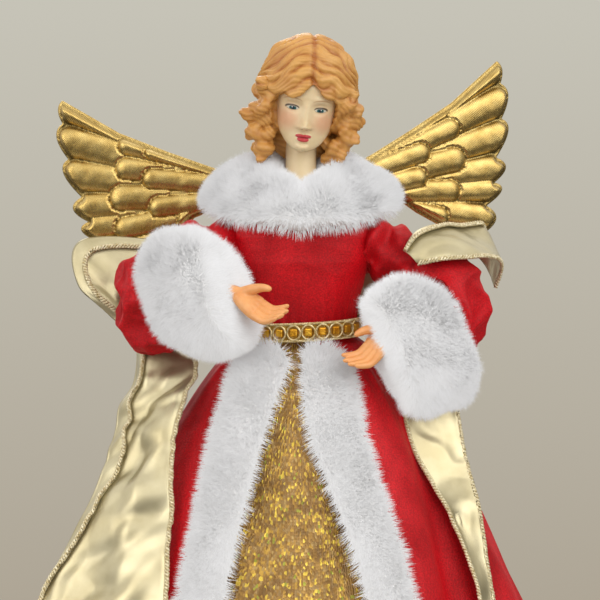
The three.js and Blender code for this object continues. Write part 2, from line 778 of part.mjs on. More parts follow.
// Wings: two layers of gold cloth over a stiff filling, in the outline of overlapping feathers.
const wingThickness = 3;
const wingBevel = 1;
const wingHingeSpread = 10;
const wingHingeDepth = 36;
const wingSetBack = 12;
const wingHingeRise = 46;
const wingHingeHeight = waistHeight + wingHingeRise;
const wingRise = 17;
const wingSweeps = { left: radians(6), right: radians(20) };
const wingRaises = { left: radians(0), right: radians(11) };
const featherTipShares = [
  [1.07, 0.415], [1.09, 0.29], [1.065, 0.126], [1.025, -0.05], [0.985, -0.15], [0.93, -0.28],
];
const featherNotchShares = [
  [1.035, 0.355], [1.01, 0.19], [0.95, 0.015], [0.92, -0.1], [0.86, -0.2], [0.84, -0.32],
];
const wingTopShares = [
  [0.13, 0.03], [0.15, 0.1], [0.34, 0.155], [0.545, 0.229], [0.76, 0.29], [1.035, 0.463],
];
const featherBulgeShare = 0.2;
const wingBottomShares = [[0.7, -0.3], [0.6, -0.24], [0.5, -0.16], [0.42, -0.08]];

function wingShape(sideSign, raise) {
  const place = ([along, rise]) => {
    const point = new THREE.Vector2(along, rise).multiplyScalar(wingLength);
    point.rotateAround(new THREE.Vector2(0, 0), raise);
    return [sideSign * point.x, point.y];
  };
  const shape = new THREE.Shape();
  shape.moveTo(...place(wingTopShares[0]));
  wingTopShares.slice(1).forEach((share) => shape.lineTo(...place(share)));
  featherTipShares.forEach((tip, index) => {
    const notch = featherNotchShares[index];
    const bulge = tip.map((value, axis) => lerp(value, notch[axis], -featherBulgeShare));
    shape.quadraticCurveTo(...place(bulge), ...place(notch));
  });
  wingBottomShares.forEach((share) => shape.lineTo(...place(share)));
  shape.closePath();
  return shape;
}

function wing(name, sideSign) {
  const geometry = new THREE.ExtrudeGeometry(wingShape(sideSign, wingRaises[name]), {
    depth: wingThickness, bevelEnabled: true, bevelThickness: wingBevel, bevelSize: wingBevel,
    bevelOffset: -wingBevel, bevelSegments: 1, curveSegments: 4,
  });
  geometry.rotateX(Math.PI / 2);
  geometry.translate(0, wingSetBack, wingRise);
  geometry.rotateZ(sideSign * wingSweeps[name]);
  return geometry.translate(sideSign * wingHingeSpread, wingHingeDepth, wingHingeHeight);
}

// Bracket on the back of the bodice, with an upright pin for each wing between two lugs.
const bracketHalfWidth = 13;
const bracketHalfHeight = 12;
const bracketThickness = 2;
const lugThickness = 2.4;
const lugHalfWidth = 3;
const pinRadius = 1.5;
const bracketFace = chestHalfDepth + bodiceDepth + clearance;

function box(centre, halfSizes) {
  const geometry = new THREE.BoxGeometry(2 * halfSizes.x, 2 * halfSizes.y, 2 * halfSizes.z);
  return geometry.translate(centre.x, centre.y, centre.z);
}

function bracket() {
  const pieces = [box(
    vector(0, bracketFace + bracketThickness / 2, wingHingeHeight),
    vector(bracketHalfWidth, bracketThickness / 2, bracketHalfHeight),
  )];
  const lugReach = (wingHingeDepth + lugHalfWidth - bracketFace) / 2;
  for (const sideSign of [-1, 1]) {
    const x = sideSign * wingHingeSpread;
    for (const end of [-1, 1]) {
      const z = wingHingeHeight + end * (bracketHalfHeight - lugThickness / 2);
      pieces.push(box(
        vector(x, bracketFace + lugReach, z), vector(lugHalfWidth, lugReach, lugThickness / 2),
      ));
    }
    pieces.push(rod(new THREE.LineCurve3(
      vector(x, wingHingeDepth, wingHingeHeight - bracketHalfHeight + lugThickness / 2),
      vector(x, wingHingeDepth, wingHingeHeight + bracketHalfHeight - lugThickness / 2),
    ), pinRadius, 12, 1));
  }
  return join(pieces);
}

add('wing_bracket', bracket(), bracketWhite, 0.5, 0);

// Stays: a wire along the back of each wing, with an eye that turns on its pin.
const stayRadius = 1.3;
const eyeRadius = 3.1;
const stayReachShare = 0.55;
const stayBendShare = 0.3;
const stayLift = radians(4);

function stay(name, sideSign) {
  const halfHeight = bracketHalfHeight - lugThickness - clearance;
  const pinLine = (reach) => new THREE.LineCurve3(vector(0, 0, -reach), vector(0, 0, reach));
  const eye = rod(pinLine(halfHeight), eyeRadius, 12, 1);
  const behind = wingSetBack + wingBevel + clearance + stayRadius;
  const raise = wingRaises[name];
  const bend = wingLength * stayBendShare;
  const reach = wingLength * stayReachShare;
  const wire = rod(new THREE.CatmullRomCurve3([
    vector(0, eyeRadius * 0.6, 0),
    vector(sideSign * eyeRadius, wingSetBack * 0.8, 0),
    vector(sideSign * wingLength * 0.13, behind, wingRise * 0.35),
    vector(sideSign * bend, behind, wingRise + bend * Math.tan(raise)),
    vector(sideSign * reach, behind, wingRise + reach * Math.tan(raise + stayLift)),
  ]), stayRadius, 6, 10);
  wire.rotateZ(sideSign * wingSweeps[name]);
  const hole = rod(pinLine(2 * halfHeight), pinRadius + clearance, 12, 1);
  const bored = cut(join([eye, wire]), [hole]);
  return bored.translate(sideSign * wingHingeSpread, wingHingeDepth, wingHingeHeight);
}

for (const [name, sideSign] of [['left', -1], ['right', 1]]) {
  add(`${name}_wing`, wing(name, sideSign), gold, 0.35, 0.9);
  add(`${name}_wing_stay`, stay(name, sideSign), stayGold, 0.4, 0.9);
}

// Stole: a long strip of gold cloth, given by its two edges. The places of its tails are shares of
// the hem's half width and half depth and of the waist's height, and of the bust's height above 1.
const skirtPlace = ([across, ahead, rise]) => vector(
  across * hemHalfWidth,
  ahead * hemHalfDepth,
  Math.min(rise, 1) * waistHeight + Math.max(rise - 1, 0) * bustHeight,
);

const edgeCurve = (shares, placeAt) => new THREE.CatmullRomCurve3(shares.map(placeAt), false, 'centripetal');

const leftOuterShares = [
  [0.35, 0.2, 1.49], [0, 0.2, 1.45], [-0.31, 0.23, 1.6], [-0.65, 0.21, 1.63],
  [-0.65, 0.13, 1.26], [-0.58, 0.1, 1], [-0.5, 0.03, 0.94], [-0.55, -0.06, 0.82],
  [-0.6, -0.19, 0.72], [-0.68, -0.27, 0.6], [-0.77, -0.32, 0.48], [-0.88, -0.4, 0.26],
];
const leftInnerShares = [
  [0.35, 0.2, 1.07], [0, 0.21, 1.04], [-0.3, 0.21, 1.11], [-0.5, 0.16, 1.07],
  [-0.47, 0.13, 0.97], [-0.4, 0.07, 0.94], [-0.32, -0.09, 0.93], [-0.34, -0.19, 0.85],
  [-0.37, -0.29, 0.77], [-0.38, -0.43, 0.64], [-0.39, -0.57, 0.49], [-0.43, -0.81, 0.26],
];
const rightOuterShares = [
  [0.52, 0.09, 1.07], [0.49, 0.04, 0.93], [0.48, -0.09, 0.85], [0.49, -0.14, 0.79],
  [0.51, -0.19, 0.72], [0.54, -0.23, 0.65], [0.58, -0.33, 0.48], [0.66, -0.43, 0.27],
];
const rightInnerShares = [
  [0.37, 0.11, 1.07], [0.35, 0.03, 0.93], [0.31, -0.12, 0.85], [0.34, -0.2, 0.77],
  [0.4, -0.27, 0.7], [0.46, -0.3, 0.64], [0.54, -0.4, 0.48], [0.58, -0.56, 0.27],
];
const wrapUpperShares = [
  [2.5, 0.68, 0.54], [2.58, 0.44, 0.75], [2.19, 0.08, 0.78], [1.83, -0.32, 0.78], [1.58, -0.64, 0.73],
  [1.42, -0.92, 0.6],
];
const wrapLowerShares = [
  [2.75, 0.16, 0.3], [2.8, -0.16, 0.48], [2.64, -0.64, 0.55], [2.33, -1.04, 0.55], [1.94, -1.24, 0.54],
  [1.61, -1.16, 0.51],
];
const stoleGap = 2.4;
const stoleSeat = 0.5;
const rippleDepth = 2.2;
const leftStoleColumns = 9;
const leftStoleRows = 30;
const rightStoleColumns = 6;
const rightStoleRows = 20;
const wrapColumns = 8;
const wrapRows = 14;

// Moves a point of a hanging strip out of the skirt, if it lies too close.
function outsideSkirt(point, gap) {
  if (point.z >= flareTop) return point;
  const spread = (1 - point.z / flareTop) ** flarePower;
  const halfWidth = lerp(waistHalfWidth, hemHalfWidth, spread);
  const halfDepth = lerp(waistHalfDepth, hemHalfDepth, spread);
  const angle = Math.atan2(point.x / halfWidth, -point.y / halfDepth);
  const drape = skirtPoint(angle, point.z);
  const least = Math.hypot(drape.x, drape.y) + gap;
  const reach = Math.hypot(point.x, point.y);
  if (reach < least) {
    point.x *= least / reach;
    point.y *= least / reach;
  }
  return point;
}

function stoleSurface(outerShares, innerShares, ripples, placeAt = skirtPlace) {
  const outerEdge = edgeCurve(outerShares, placeAt);
  const innerEdge = edgeCurve(innerShares, placeAt);
  return (u, v) => {
    const share = THREE.MathUtils.clamp(v, 0, 1);
    const across = THREE.MathUtils.clamp(u, 0, 1);
    const point = outerEdge.getPoint(share).lerp(innerEdge.getPoint(share), across);
    const ripple = rippleDepth * (1 - Math.cos(2 * Math.PI * ripples * across)) / 2;
    const drop = Math.max(1 - point.z / waistHeight, 0);
    return outsideSkirt(point, lerp(stoleSeat, stoleGap, Math.min(2 * drop, 1)) + ripple * share);
  };
}

const leftTail = stoleSurface(leftOuterShares, leftInnerShares, 3);
const rightTail = stoleSurface(rightOuterShares, rightInnerShares, 2);
const armWrap = stoleSurface(wrapUpperShares, wrapLowerShares, 2, bustPlace);
add('stole_left', cloth(
  leftTail, 0, lameThickness, leftStoleColumns, leftStoleRows, false,
), champagne, 0.35, 0.6);
add('stole_right', cloth(
  rightTail, 0, lameThickness, rightStoleColumns, rightStoleRows, false,
), champagne, 0.35, 0.6);
add('stole_arm_wrap', cloth(
  armWrap, 0, lameThickness, wrapColumns, wrapRows, false,
), champagne, 0.35, 0.6);

group.updateMatrixWorld(true);
export default group;
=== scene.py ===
import math

import bpy
import numpy as np
from mathutils import Matrix, Vector, kdtree
from mathutils.geometry import delaunay_2d_cdt


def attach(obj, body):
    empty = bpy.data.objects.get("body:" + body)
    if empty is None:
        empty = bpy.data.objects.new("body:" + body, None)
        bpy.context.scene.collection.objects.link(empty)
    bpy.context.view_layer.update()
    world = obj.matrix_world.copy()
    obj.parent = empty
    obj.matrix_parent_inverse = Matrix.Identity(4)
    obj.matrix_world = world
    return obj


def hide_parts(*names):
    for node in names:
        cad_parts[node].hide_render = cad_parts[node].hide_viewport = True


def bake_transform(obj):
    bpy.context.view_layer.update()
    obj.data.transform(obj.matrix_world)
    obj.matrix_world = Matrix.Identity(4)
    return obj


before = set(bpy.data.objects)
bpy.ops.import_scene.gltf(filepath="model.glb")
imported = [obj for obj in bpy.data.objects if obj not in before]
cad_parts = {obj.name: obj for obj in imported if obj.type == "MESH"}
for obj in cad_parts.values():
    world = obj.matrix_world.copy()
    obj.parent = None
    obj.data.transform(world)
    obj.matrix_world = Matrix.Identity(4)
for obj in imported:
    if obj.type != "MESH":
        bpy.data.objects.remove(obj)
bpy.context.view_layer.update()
mm = 0.001


# Camera, floor and light. The camera stands a little above the doll's waist and looks at its
# upper half. The floor is a plain table top, and three large lamps and the room give the light.
camera_target = Vector((-0.0005, 0, 0.264))
camera_distance = 1.0
camera_elevation = math.radians(5)
camera_data = bpy.data.cameras.new("camera")
camera_data.sensor_width = 36
camera_data.lens = 117
camera = bpy.data.objects.new("camera", camera_data)
away = Vector((0, -math.cos(camera_elevation), math.sin(camera_elevation)))
camera.location = camera_target + camera_distance * away
camera.rotation_euler = (-away).to_track_quat("-Z", "Y").to_euler()
bpy.context.scene.collection.objects.link(camera)
bpy.context.scene.camera = camera
bpy.context.scene.view_settings.view_transform = "Standard"


# A colour written as on a screen, from 0 to 255, in the renderer's linear values.
def colour(red, green, blue):
    shares = [value / 255 for value in (red, green, blue)]
    return tuple(s / 12.92 if s <= 0.04045 else ((s + 0.055) / 1.055) ** 2.4 for s in shares)


# Puts a plain value in a socket, or links another node's output to it.
def put(tree, socket, value):
    if isinstance(value, bpy.types.NodeSocket):
        tree.links.new(value, socket)
    elif socket.type == "RGBA":
        socket.default_value = (*value, 1)
    else:
        socket.default_value = value


# A new node of a kind, with its inputs by name and its settings.
def add_node(tree, kind, inputs, **settings):
    node = tree.nodes.new("ShaderNode" + kind)
    for setting, value in settings.items():
        setattr(node, setting, value)
    for socket_name, value in inputs.items():
        put(tree, node.inputs[socket_name], value)
    return node


# A value spread from one range over another.
def ranged(tree, value, to_min, to_max, from_min=0.0, from_max=1.0, kind="LINEAR"):
    ends = {"From Min": from_min, "From Max": from_max, "To Min": to_min, "To Max": to_max}
    node = add_node(tree, "MapRange", {"Value": value, **ends}, interpolation_type=kind)
    return node.outputs["Result"]


# Two colours mixed, or multiplied, by a share.
def mixed(tree, first, second, share, blend="MIX"):
    inputs = {"Factor": share, "A": first, "B": second}
    return add_node(tree, "Mix", inputs, data_type="RGBA", blend_type=blend).outputs["Result"]


def start_material(name, base, roughness, metallic=0.0):
    material = bpy.data.materials.new(name)
    material.use_nodes = True
    tree = material.node_tree
    shader = tree.nodes["Principled BSDF"]
    put(tree, shader.inputs["Base Color"], base)
    put(tree, shader.inputs["Roughness"], roughness)
    put(tree, shader.inputs["Metallic"], metallic)
    return material, tree, shader


# The mottle group: a base colour that drifts between two colours in soft patches.
mottle_group = bpy.data.node_groups.new("mottle", "ShaderNodeTree")
for socket_name, socket_type in (
    ("Vector", "NodeSocketVector"), ("Scale", "NodeSocketFloat"),
    ("Dark", "NodeSocketColor"), ("Light", "NodeSocketColor"),
):
    mottle_group.interface.new_socket(name=socket_name, in_out="INPUT", socket_type=socket_type)
mottle_group.interface.new_socket(name="Color", in_out="OUTPUT", socket_type="NodeSocketColor")
mottle_in = mottle_group.nodes.new("NodeGroupInput").outputs
mottle_out = mottle_group.nodes.new("NodeGroupOutput")
mottle_noise = add_node(mottle_group, "TexNoise", {
    "Vector": mottle_in["Vector"], "Scale": mottle_in["Scale"], "Detail": 4,
})
mottle_share = ranged(mottle_group, mottle_noise.outputs["Fac"], 0, 1, 0.32, 0.68)
mottle_colour = mixed(mottle_group, mottle_in["Dark"], mottle_in["Light"], mottle_share)
mottle_group.links.new(mottle_colour, mottle_out.inputs["Color"])


# Where a pattern starts: the piece's own place in metres, or a map that it carries.
def place_of(tree, map_name=None):
    if map_name:
        return add_node(tree, "UVMap", {}, uv_map=map_name).outputs["UV"]
    return add_node(tree, "TexCoord", {}).outputs["Object"]


def mottled(tree, place, scale, dark, light):
    inputs = {"Vector": place, "Scale": scale, "Dark": dark, "Light": light}
    return add_node(tree, "Group", inputs, node_tree=mottle_group).outputs["Color"]


# Small relief: a height becomes a bump on the shader, depth metres deep where the height is 1.
def relief(tree, shader, height, depth, strength=1.0):
    bump = add_node(tree, "Bump", {"Distance": depth, "Strength": strength, "Height": height})
    tree.links.new(bump.outputs["Normal"], shader.inputs["Normal"])


def noise_height(tree, place, scale, detail=2.0):
    return add_node(tree, "TexNoise", {"Vector": place, "Scale": scale, "Detail": detail}).outputs["Fac"]


# A material whose colour drifts between two tones. A grain adds fine relief, depth deep.
def drifting_material(name, base, roughness, metallic, drift, dark, light, grain=None, depth=0.0):
    material, tree, shader = start_material(name, base, roughness, metallic)
    put(tree, shader.inputs["Base Color"], mottled(tree, place_of(tree), drift, dark, light))
    if grain:
        relief(tree, shader, noise_height(tree, place_of(tree), grain), depth)
    return material


floor_radius = 0.36
bpy.ops.object.select_all(action="DESELECT")
bpy.ops.mesh.primitive_circle_add(vertices=96, radius=floor_radius, fill_type="NGON")
floor = bpy.context.object
floor.name = "floor"
floor.data.materials.append(drifting_material(
    "floor", colour(196, 190, 176), 0.9, 0.0, 9, colour(192, 186, 172), colour(202, 196, 183),
))

# The room's soft light comes mostly from above. Shiny pieces reflect a dark floor and a light
# ceiling. The wall behind is seen by the camera only, and has painted light: it is a little
# lighter at the top.
world = bpy.data.worlds.new("studio")
bpy.context.scene.world = world
world.use_nodes = True
world_tree = world.node_tree
soft_light = world_tree.nodes["Background"]
soft_light.inputs["Color"].default_value = (1.0, 0.97, 0.94, 1)
seen = add_node(world_tree, "LightPath", {})
room_place = add_node(world_tree, "TexCoord", {}).outputs["Generated"]
room_slope = add_node(world_tree, "VectorMath", {}, operation="DOT_PRODUCT")
room_slope.inputs[1].default_value = (-0.2, 0.1, 0.95)
world_tree.links.new(room_place, room_slope.inputs[0])
room_strength = add_node(world_tree, "Mix", {
    "Factor": seen.outputs["Is Glossy Ray"],
    "A": ranged(world_tree, room_slope.outputs["Value"], 0.18, 0.8, -1),
    "B": ranged(world_tree, room_slope.outputs["Value"], 0.06, 1.15, -0.35, 0.65, "SMOOTHSTEP"),
})
world_tree.links.new(room_strength.outputs["Result"], soft_light.inputs["Strength"])
# Painted light on the wall: it grows lighter from its foot to its top.
wall_height = add_node(world_tree, "SeparateXYZ", {"Vector": room_place}).outputs["Z"]
wall_share = ranged(world_tree, wall_height, 0, 1, -0.24, 0.06)
wall_colour = mixed(world_tree, colour(174, 165, 149), colour(198, 195, 183), wall_share)
wall = add_node(world_tree, "Background", {"Color": wall_colour})
seen_switch = add_node(world_tree, "MixShader", {"Fac": seen.outputs["Is Camera Ray"]})
world_tree.links.new(soft_light.outputs["Background"], seen_switch.inputs[1])
world_tree.links.new(wall.outputs["Background"], seen_switch.inputs[2])
world_tree.links.new(seen_switch.outputs["Shader"], world_tree.nodes["World Output"].inputs["Surface"])

# Each lamp: its name, place and size in metres, its power and its tint.
lamp_target = Vector((0, 0, 0.25))
lamps = (
    ("window_light", (0.8, -1.0, 1.0), 1.6, 17, (1.0, 0.98, 0.95)),
    ("room_light", (-1.0, -0.9, 0.7), 1.0, 7, (1.0, 0.97, 0.93)),
    ("back_light", (-0.3, 1.1, 1.1), 0.9, 6, (1.0, 0.98, 0.96)),
)
for name, place, size, power, tint in lamps:
    lamp = bpy.data.lights.new(name, "AREA")
    lamp.size = size
    lamp.energy = power
    lamp.color = tint
    holder = bpy.data.objects.new(name, lamp)
    holder.location = place
    holder.rotation_euler = (lamp_target - Vector(place)).to_track_quat("-Z", "Y").to_euler()
    bpy.context.scene.collection.objects.link(holder)


# Cone and ring: white card rolled to a cone, glued along one seam, with a stiff card ring
# round its foot. They hide under the skirts.
card_material = drifting_material(
    "white_card", colour(232, 227, 214), 0.8, 0.0, 45, colour(222, 216, 202), colour(238, 233, 222),
    900, 0.0001,
)
for node_name in ("base_cone", "base_ring"):
    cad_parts[node_name].material_slots[0].material = card_material


# Torso form: expanded foam, in small beads pressed together, with a wooden peg for the neck
# pushed into its top.
foam_material, foam_tree, foam_shader = start_material("white_foam", colour(243, 241, 234), 0.9)
foam_beads = add_node(foam_tree, "TexVoronoi", {"Vector": place_of(foam_tree), "Scale": 420})
relief(foam_tree, foam_shader, foam_beads.outputs["Distance"], 0.0004)
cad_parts["torso_form"].material_slots[0].material = foam_material
peg_material, peg_tree, peg_shader = start_material("plain_wood", colour(200, 168, 120), 0.6)
peg_grain = add_node(peg_tree, "Mapping", {"Vector": place_of(peg_tree), "Scale": (1, 1, 0.08)})
peg_colour = mottled(
    peg_tree, peg_grain.outputs["Vector"], 1500, colour(168, 130, 84), colour(212, 182, 134),
)
put(peg_tree, peg_shader.inputs["Base Color"], peg_colour)
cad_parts["neck_peg"].material_slots[0].material = peg_material


# Wires and bracket: bare steel wire in the arms and behind the wings, and a moulded white
# bracket pinned to the back of the torso.
wire_material = drifting_material(
    "steel_wire", colour(172, 170, 166), 0.35, 1.0, 500, colour(140, 138, 134), colour(186, 184, 180),
)
for node_name in ("left_arm_wire", "right_arm_wire", "left_wing_stay", "right_wing_stay"):
    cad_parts[node_name].material_slots[0].material = wire_material
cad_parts["wing_bracket"].material_slots[0].material = drifting_material(
    "white_plastic", colour(226, 222, 212), 0.45, 0.0, 120, colour(218, 213, 202),
    colour(231, 228, 219), 1200, 0.00005,
)


# Bodice: red velvet cut close to the torso, smooth over the bust and drawn in at the waist in
# small gathers. Its surface is drawn over the foam form and displaced along its normals.
waist_height = 250
bust_height = 67
chest_half_width = 36
chest_half_depth = 25
torso_foot = 236.3
velvet_thickness = 1.6
bodice_foot = 249.8
bodice_top = 314.5
bodice_lift = 2.2
bodice_swell = 0.6
bodice_swell_size = 30
bodice_slack = 0.35
bodice_slack_size = 40
bodice_hollow = 0.4
waist_gather_count = 34
waist_gather_depth = 0.45
waist_gather_height = 22
waist_gather_wander = 60
torso_height_shares = [0, 0.17, 0.38, 0.6, 0.76, 0.87, 0.95, 1]
torso_width_shares = [0.68, 0.69, 0.78, 0.93, 1, 0.87, 0.55, 0.34]
torso_depth_shares = [0.74, 0.75, 0.84, 1, 0.96, 0.8, 0.58, 0.45]


# Soft waves about size across in any direction, from about -1 to 1.
def wander(points, size, seed):
    chance = np.random.default_rng(seed)
    total = np.zeros(points.shape[:-1])
    for _ in range(7):
        direction = chance.normal(size=3)
        direction /= np.linalg.norm(direction)
        turns = points @ direction * (2 * math.pi / size) * chance.uniform(0.6, 1.5)
        total += np.sin(turns + chance.uniform(0, 2 * math.pi))
    return total / 3.2


# Soft-edged folds, with narrow ridges and wide hollows, from 0 to 1.
def creases(points, size, seed):
    return (1 - np.abs(wander(points, size, seed))) ** 2


def unit(vectors):
    return vectors / np.maximum(np.linalg.norm(vectors, axis=-1, keepdims=True), 1e-9)


# The normals of a grid of points, facing away from its left-to-right and bottom-to-top turn.
def grid_normals(points, closed):
    across = np.roll(points, -1, 1) - np.roll(points, 1, 1)
    if not closed:
        across = np.gradient(points, axis=1)
    return unit(np.cross(across, np.gradient(points, axis=0)))


# A surface given as rows of points becomes a mesh that carries a map in millimetres.
def surface_piece(name, points, closed=False):
    rows, columns = points.shape[:2]
    places = np.arange(rows * columns).reshape(rows, columns)
    loop = np.concatenate([points, points[:, :1]], 1) if closed else points
    if closed:
        places = np.concatenate([places, places[:, :1]], 1)
    steps = np.linalg.norm(np.diff(loop, axis=1), axis=-1).mean(0)
    u = np.concatenate([[0], np.cumsum(steps)])
    v = np.concatenate([[0], np.cumsum(np.linalg.norm(np.diff(points, axis=0), axis=-1).mean(1))])
    corners = np.stack([places[:-1, :-1], places[:-1, 1:], places[1:, 1:], places[1:, :-1]], -1)
    grid_u, grid_v = np.meshgrid(u, v)
    flat_map = np.stack([grid_u, grid_v], -1)
    corner_maps = np.stack([flat_map[:-1, :-1], flat_map[:-1, 1:], flat_map[1:, 1:], flat_map[1:, :-1]], 2)
    mesh = bpy.data.meshes.new(name)
    mesh.from_pydata((points.reshape(-1, 3) * mm).tolist(), [], corners.reshape(-1, 4).tolist())
    layer = mesh.uv_layers.new(name="cloth_map")
    layer.data.foreach_set("uv", corner_maps.reshape(-1, 2).ravel())
    mesh.polygons.foreach_set("use_smooth", [True] * len(mesh.polygons))
    piece = bpy.data.objects.new(name, mesh)
    bpy.context.scene.collection.objects.link(piece)
    return piece


def only(piece):
    bpy.ops.object.select_all(action="DESELECT")
    piece.select_set(True)
    bpy.context.view_layer.objects.active = piece


def apply_modifiers(piece):
    only(piece)
    for modifier in list(piece.modifiers):
        bpy.ops.object.modifier_apply(modifier=modifier.name)


def thicken(piece, thickness, towards=-1):
    solidify = piece.modifiers.new("thickness", "SOLIDIFY")
    solidify.thickness = thickness * mm
    solidify.offset = towards
    apply_modifiers(piece)


def torso_points(angle, height, grow):
    share = np.clip((height - torso_foot) / (waist_height + bust_height - torso_foot), 0, 1)
    half_width = chest_half_width * np.interp(share, torso_height_shares, torso_width_shares) + grow
    half_depth = chest_half_depth * np.interp(share, torso_height_shares, torso_depth_shares) + grow
    return np.stack([half_width * np.sin(angle), -half_depth * np.cos(angle), height + 0 * angle], -1)


velvet_material, velvet_tree, velvet_shader = start_material("red_velvet", colour(186, 8, 20), 0.62)
velvet_place = place_of(velvet_tree)
velvet_nap = add_node(velvet_tree, "Mapping", {"Vector": velvet_place, "Scale": (1, 1, 0.45)})
velvet_nap = velvet_nap.outputs["Vector"]
velvet_patch_scale = 46
# Painted sheen: the broad patches of lighter and darker red stand in for the light caught by the crushed
# nap.
velvet_sheen_patches = mottled(
    velvet_tree, velvet_nap, velvet_patch_scale, colour(174, 2, 14), colour(222, 13, 28),
)
velvet_pile = mottled(velvet_tree, velvet_place, 1300, colour(168, 168, 168), colour(255, 255, 255))
velvet_colour = mixed(velvet_tree, velvet_sheen_patches, velvet_pile, 0.8, "MULTIPLY")
velvet_lie = noise_height(velvet_tree, velvet_nap, velvet_patch_scale)
velvet_shine = ranged(velvet_tree, velvet_lie, 0.75, 0.4, 0.3, 0.7)
for socket_name, value in (
    ("Base Color", velvet_colour), ("Roughness", velvet_shine), ("Sheen Weight", 0.42),
    ("Sheen Roughness", 0.3), ("Sheen Tint", colour(255, 70, 70)), ("Specular IOR Level", 0.25),
):
    put(velvet_tree, velvet_shader.inputs[socket_name], value)
relief(velvet_tree, velvet_shader, noise_height(velvet_tree, velvet_place, 1400, 3), 0.0004, 0.7)

bodice_angle, bodice_height = np.meshgrid(
    np.linspace(0, 2 * math.pi, 160, endpoint=False), np.linspace(bodice_foot, bodice_top, 70),
)
bodice_points = torso_points(bodice_angle, bodice_height, bodice_lift)
bodice_normals = grid_normals(bodice_points, True)
waist_pull = np.exp(-(bodice_height - waist_height) / waist_gather_height)
gathers = waist_gather_count * bodice_angle + 2 * wander(bodice_points, waist_gather_wander, 3)
swell = bodice_swell * wander(bodice_points, bodice_swell_size, 4)
swell = swell + waist_gather_depth * waist_pull ** 2 * np.sin(gathers)
slack = bodice_slack * creases(bodice_points * [1, 1, 2.4], bodice_slack_size, 5)
bodice_points += bodice_normals * np.maximum(swell + slack, -bodice_hollow)[..., None]
bodice = surface_piece("bodice_velvet", bodice_points, closed=True)
thicken(bodice, velvet_thickness)
bodice.data.materials.append(velvet_material)
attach(bodice, "figure")
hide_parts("bodice")


# Underskirt: gold brocade, woven in a loose grid of short metallic dashes, gathered at the
# waist and hanging to the hem inside the coat.
hem_half_width = 166
hem_half_depth = 136
waist_half_width = 29
waist_half_depth = 23
flare_top = 244.65
flare_power = 0.78
fold_depth = 6
deep_fold_depth = 13
deep_fold_height = 110
skirt_top = 249
hem_gap = 1
brocade_thickness = 1.2
under_waist_inset = 1.9
under_hem_inset = 3.4
under_gather_depth = 0.5
under_gather_wander = 90
under_sway_depth = 1.1
under_sway_size = 38
under_sway_most = 0.8


# The bell of both skirts without its folds: how far down a height is, and its half width and depth.
def bell(height, least_drop=0.0):
    drop = np.clip(1 - height / flare_top, least_drop, 1)
    spread = drop ** flare_power
    half_width = waist_half_width + (hem_half_width - waist_half_width) * spread
    half_depth = waist_half_depth + (hem_half_depth - waist_half_depth) * spread
    return drop, half_width, half_depth


# The bell with its folds. A deep fold runs down the coat's right side.
def skirt_points(angle, height, folds=1.0):
    drop, half_width, half_depth = bell(height)
    wave = np.cos(10 * angle) + 0.35 * np.cos(6 * angle + 1)
    fold_middle = np.radians(48 + 0.15 * (height - deep_fold_height))
    fold_width = np.radians(8 + 6 * drop)
    deep = np.exp(-(((angle - fold_middle) / fold_width) ** 2))
    deep = deep_fold_depth * np.minimum(drop / 0.5, 1.3) * deep
    fold = fold_depth * drop * wave * folds - deep
    return np.stack([
        (half_width + fold) * np.sin(angle), -(half_depth + fold) * np.cos(angle), height + 0 * angle,
    ], -1)


def sideways(points, centre_out):
    return points + unit(points * [1, 1, 0]) * centre_out[..., None]


skirt_shares = 1 - (1 - np.linspace(0, 1, 110)) ** 1.25
skirt_heights = hem_gap + (skirt_top - hem_gap) * skirt_shares
under_angle, under_height = np.meshgrid(np.linspace(0, 2 * math.pi, 260, endpoint=False), skirt_heights)
under_points = skirt_points(under_angle, under_height)
under_drop = bell(under_height)[0]
under_inset = -under_waist_inset - under_hem_inset * np.minimum(under_drop * 2.5, 1) ** 0.7
under_gathers = 44 * under_angle + 2.5 * wander(under_points, under_gather_wander, 11)
under_gathers = under_gather_depth * np.sin(under_gathers)
under_gathers *= np.exp(-under_drop * 9) * np.minimum(under_drop * 30, 1)
under_sway = under_sway_depth * wander(under_points * [1, 1, 0.35], under_sway_size, 12)
under_sway = np.minimum(under_sway * np.minimum(under_drop * 4, 1), under_sway_most)
under_points = sideways(under_points, under_inset + under_gathers + under_sway)
underskirt = surface_piece("underskirt_brocade", under_points, closed=True)
thicken(underskirt, brocade_thickness)

brocade_material, brocade_tree, brocade_shader = start_material(
    "gold_brocade", colour(178, 146, 80), 0.42, 0.4,
)
brocade_grid = add_node(brocade_tree, "Mapping", {
    "Vector": place_of(brocade_tree, "cloth_map"), "Scale": (0.95, 0.6, 1),
})
brocade_dash = add_node(brocade_tree, "TexVoronoi", {
    "Vector": brocade_grid.outputs["Vector"], "Scale": 1.0, "Randomness": 0.75,
}, voronoi_dimensions="2D")
brocade_pick = add_node(brocade_tree, "SeparateColor", {"Color": brocade_dash.outputs["Color"]})
brocade_ramp = add_node(brocade_tree, "ValToRGB", {"Fac": brocade_pick.outputs["Red"]})
brocade_ramp.color_ramp.interpolation = "CONSTANT"
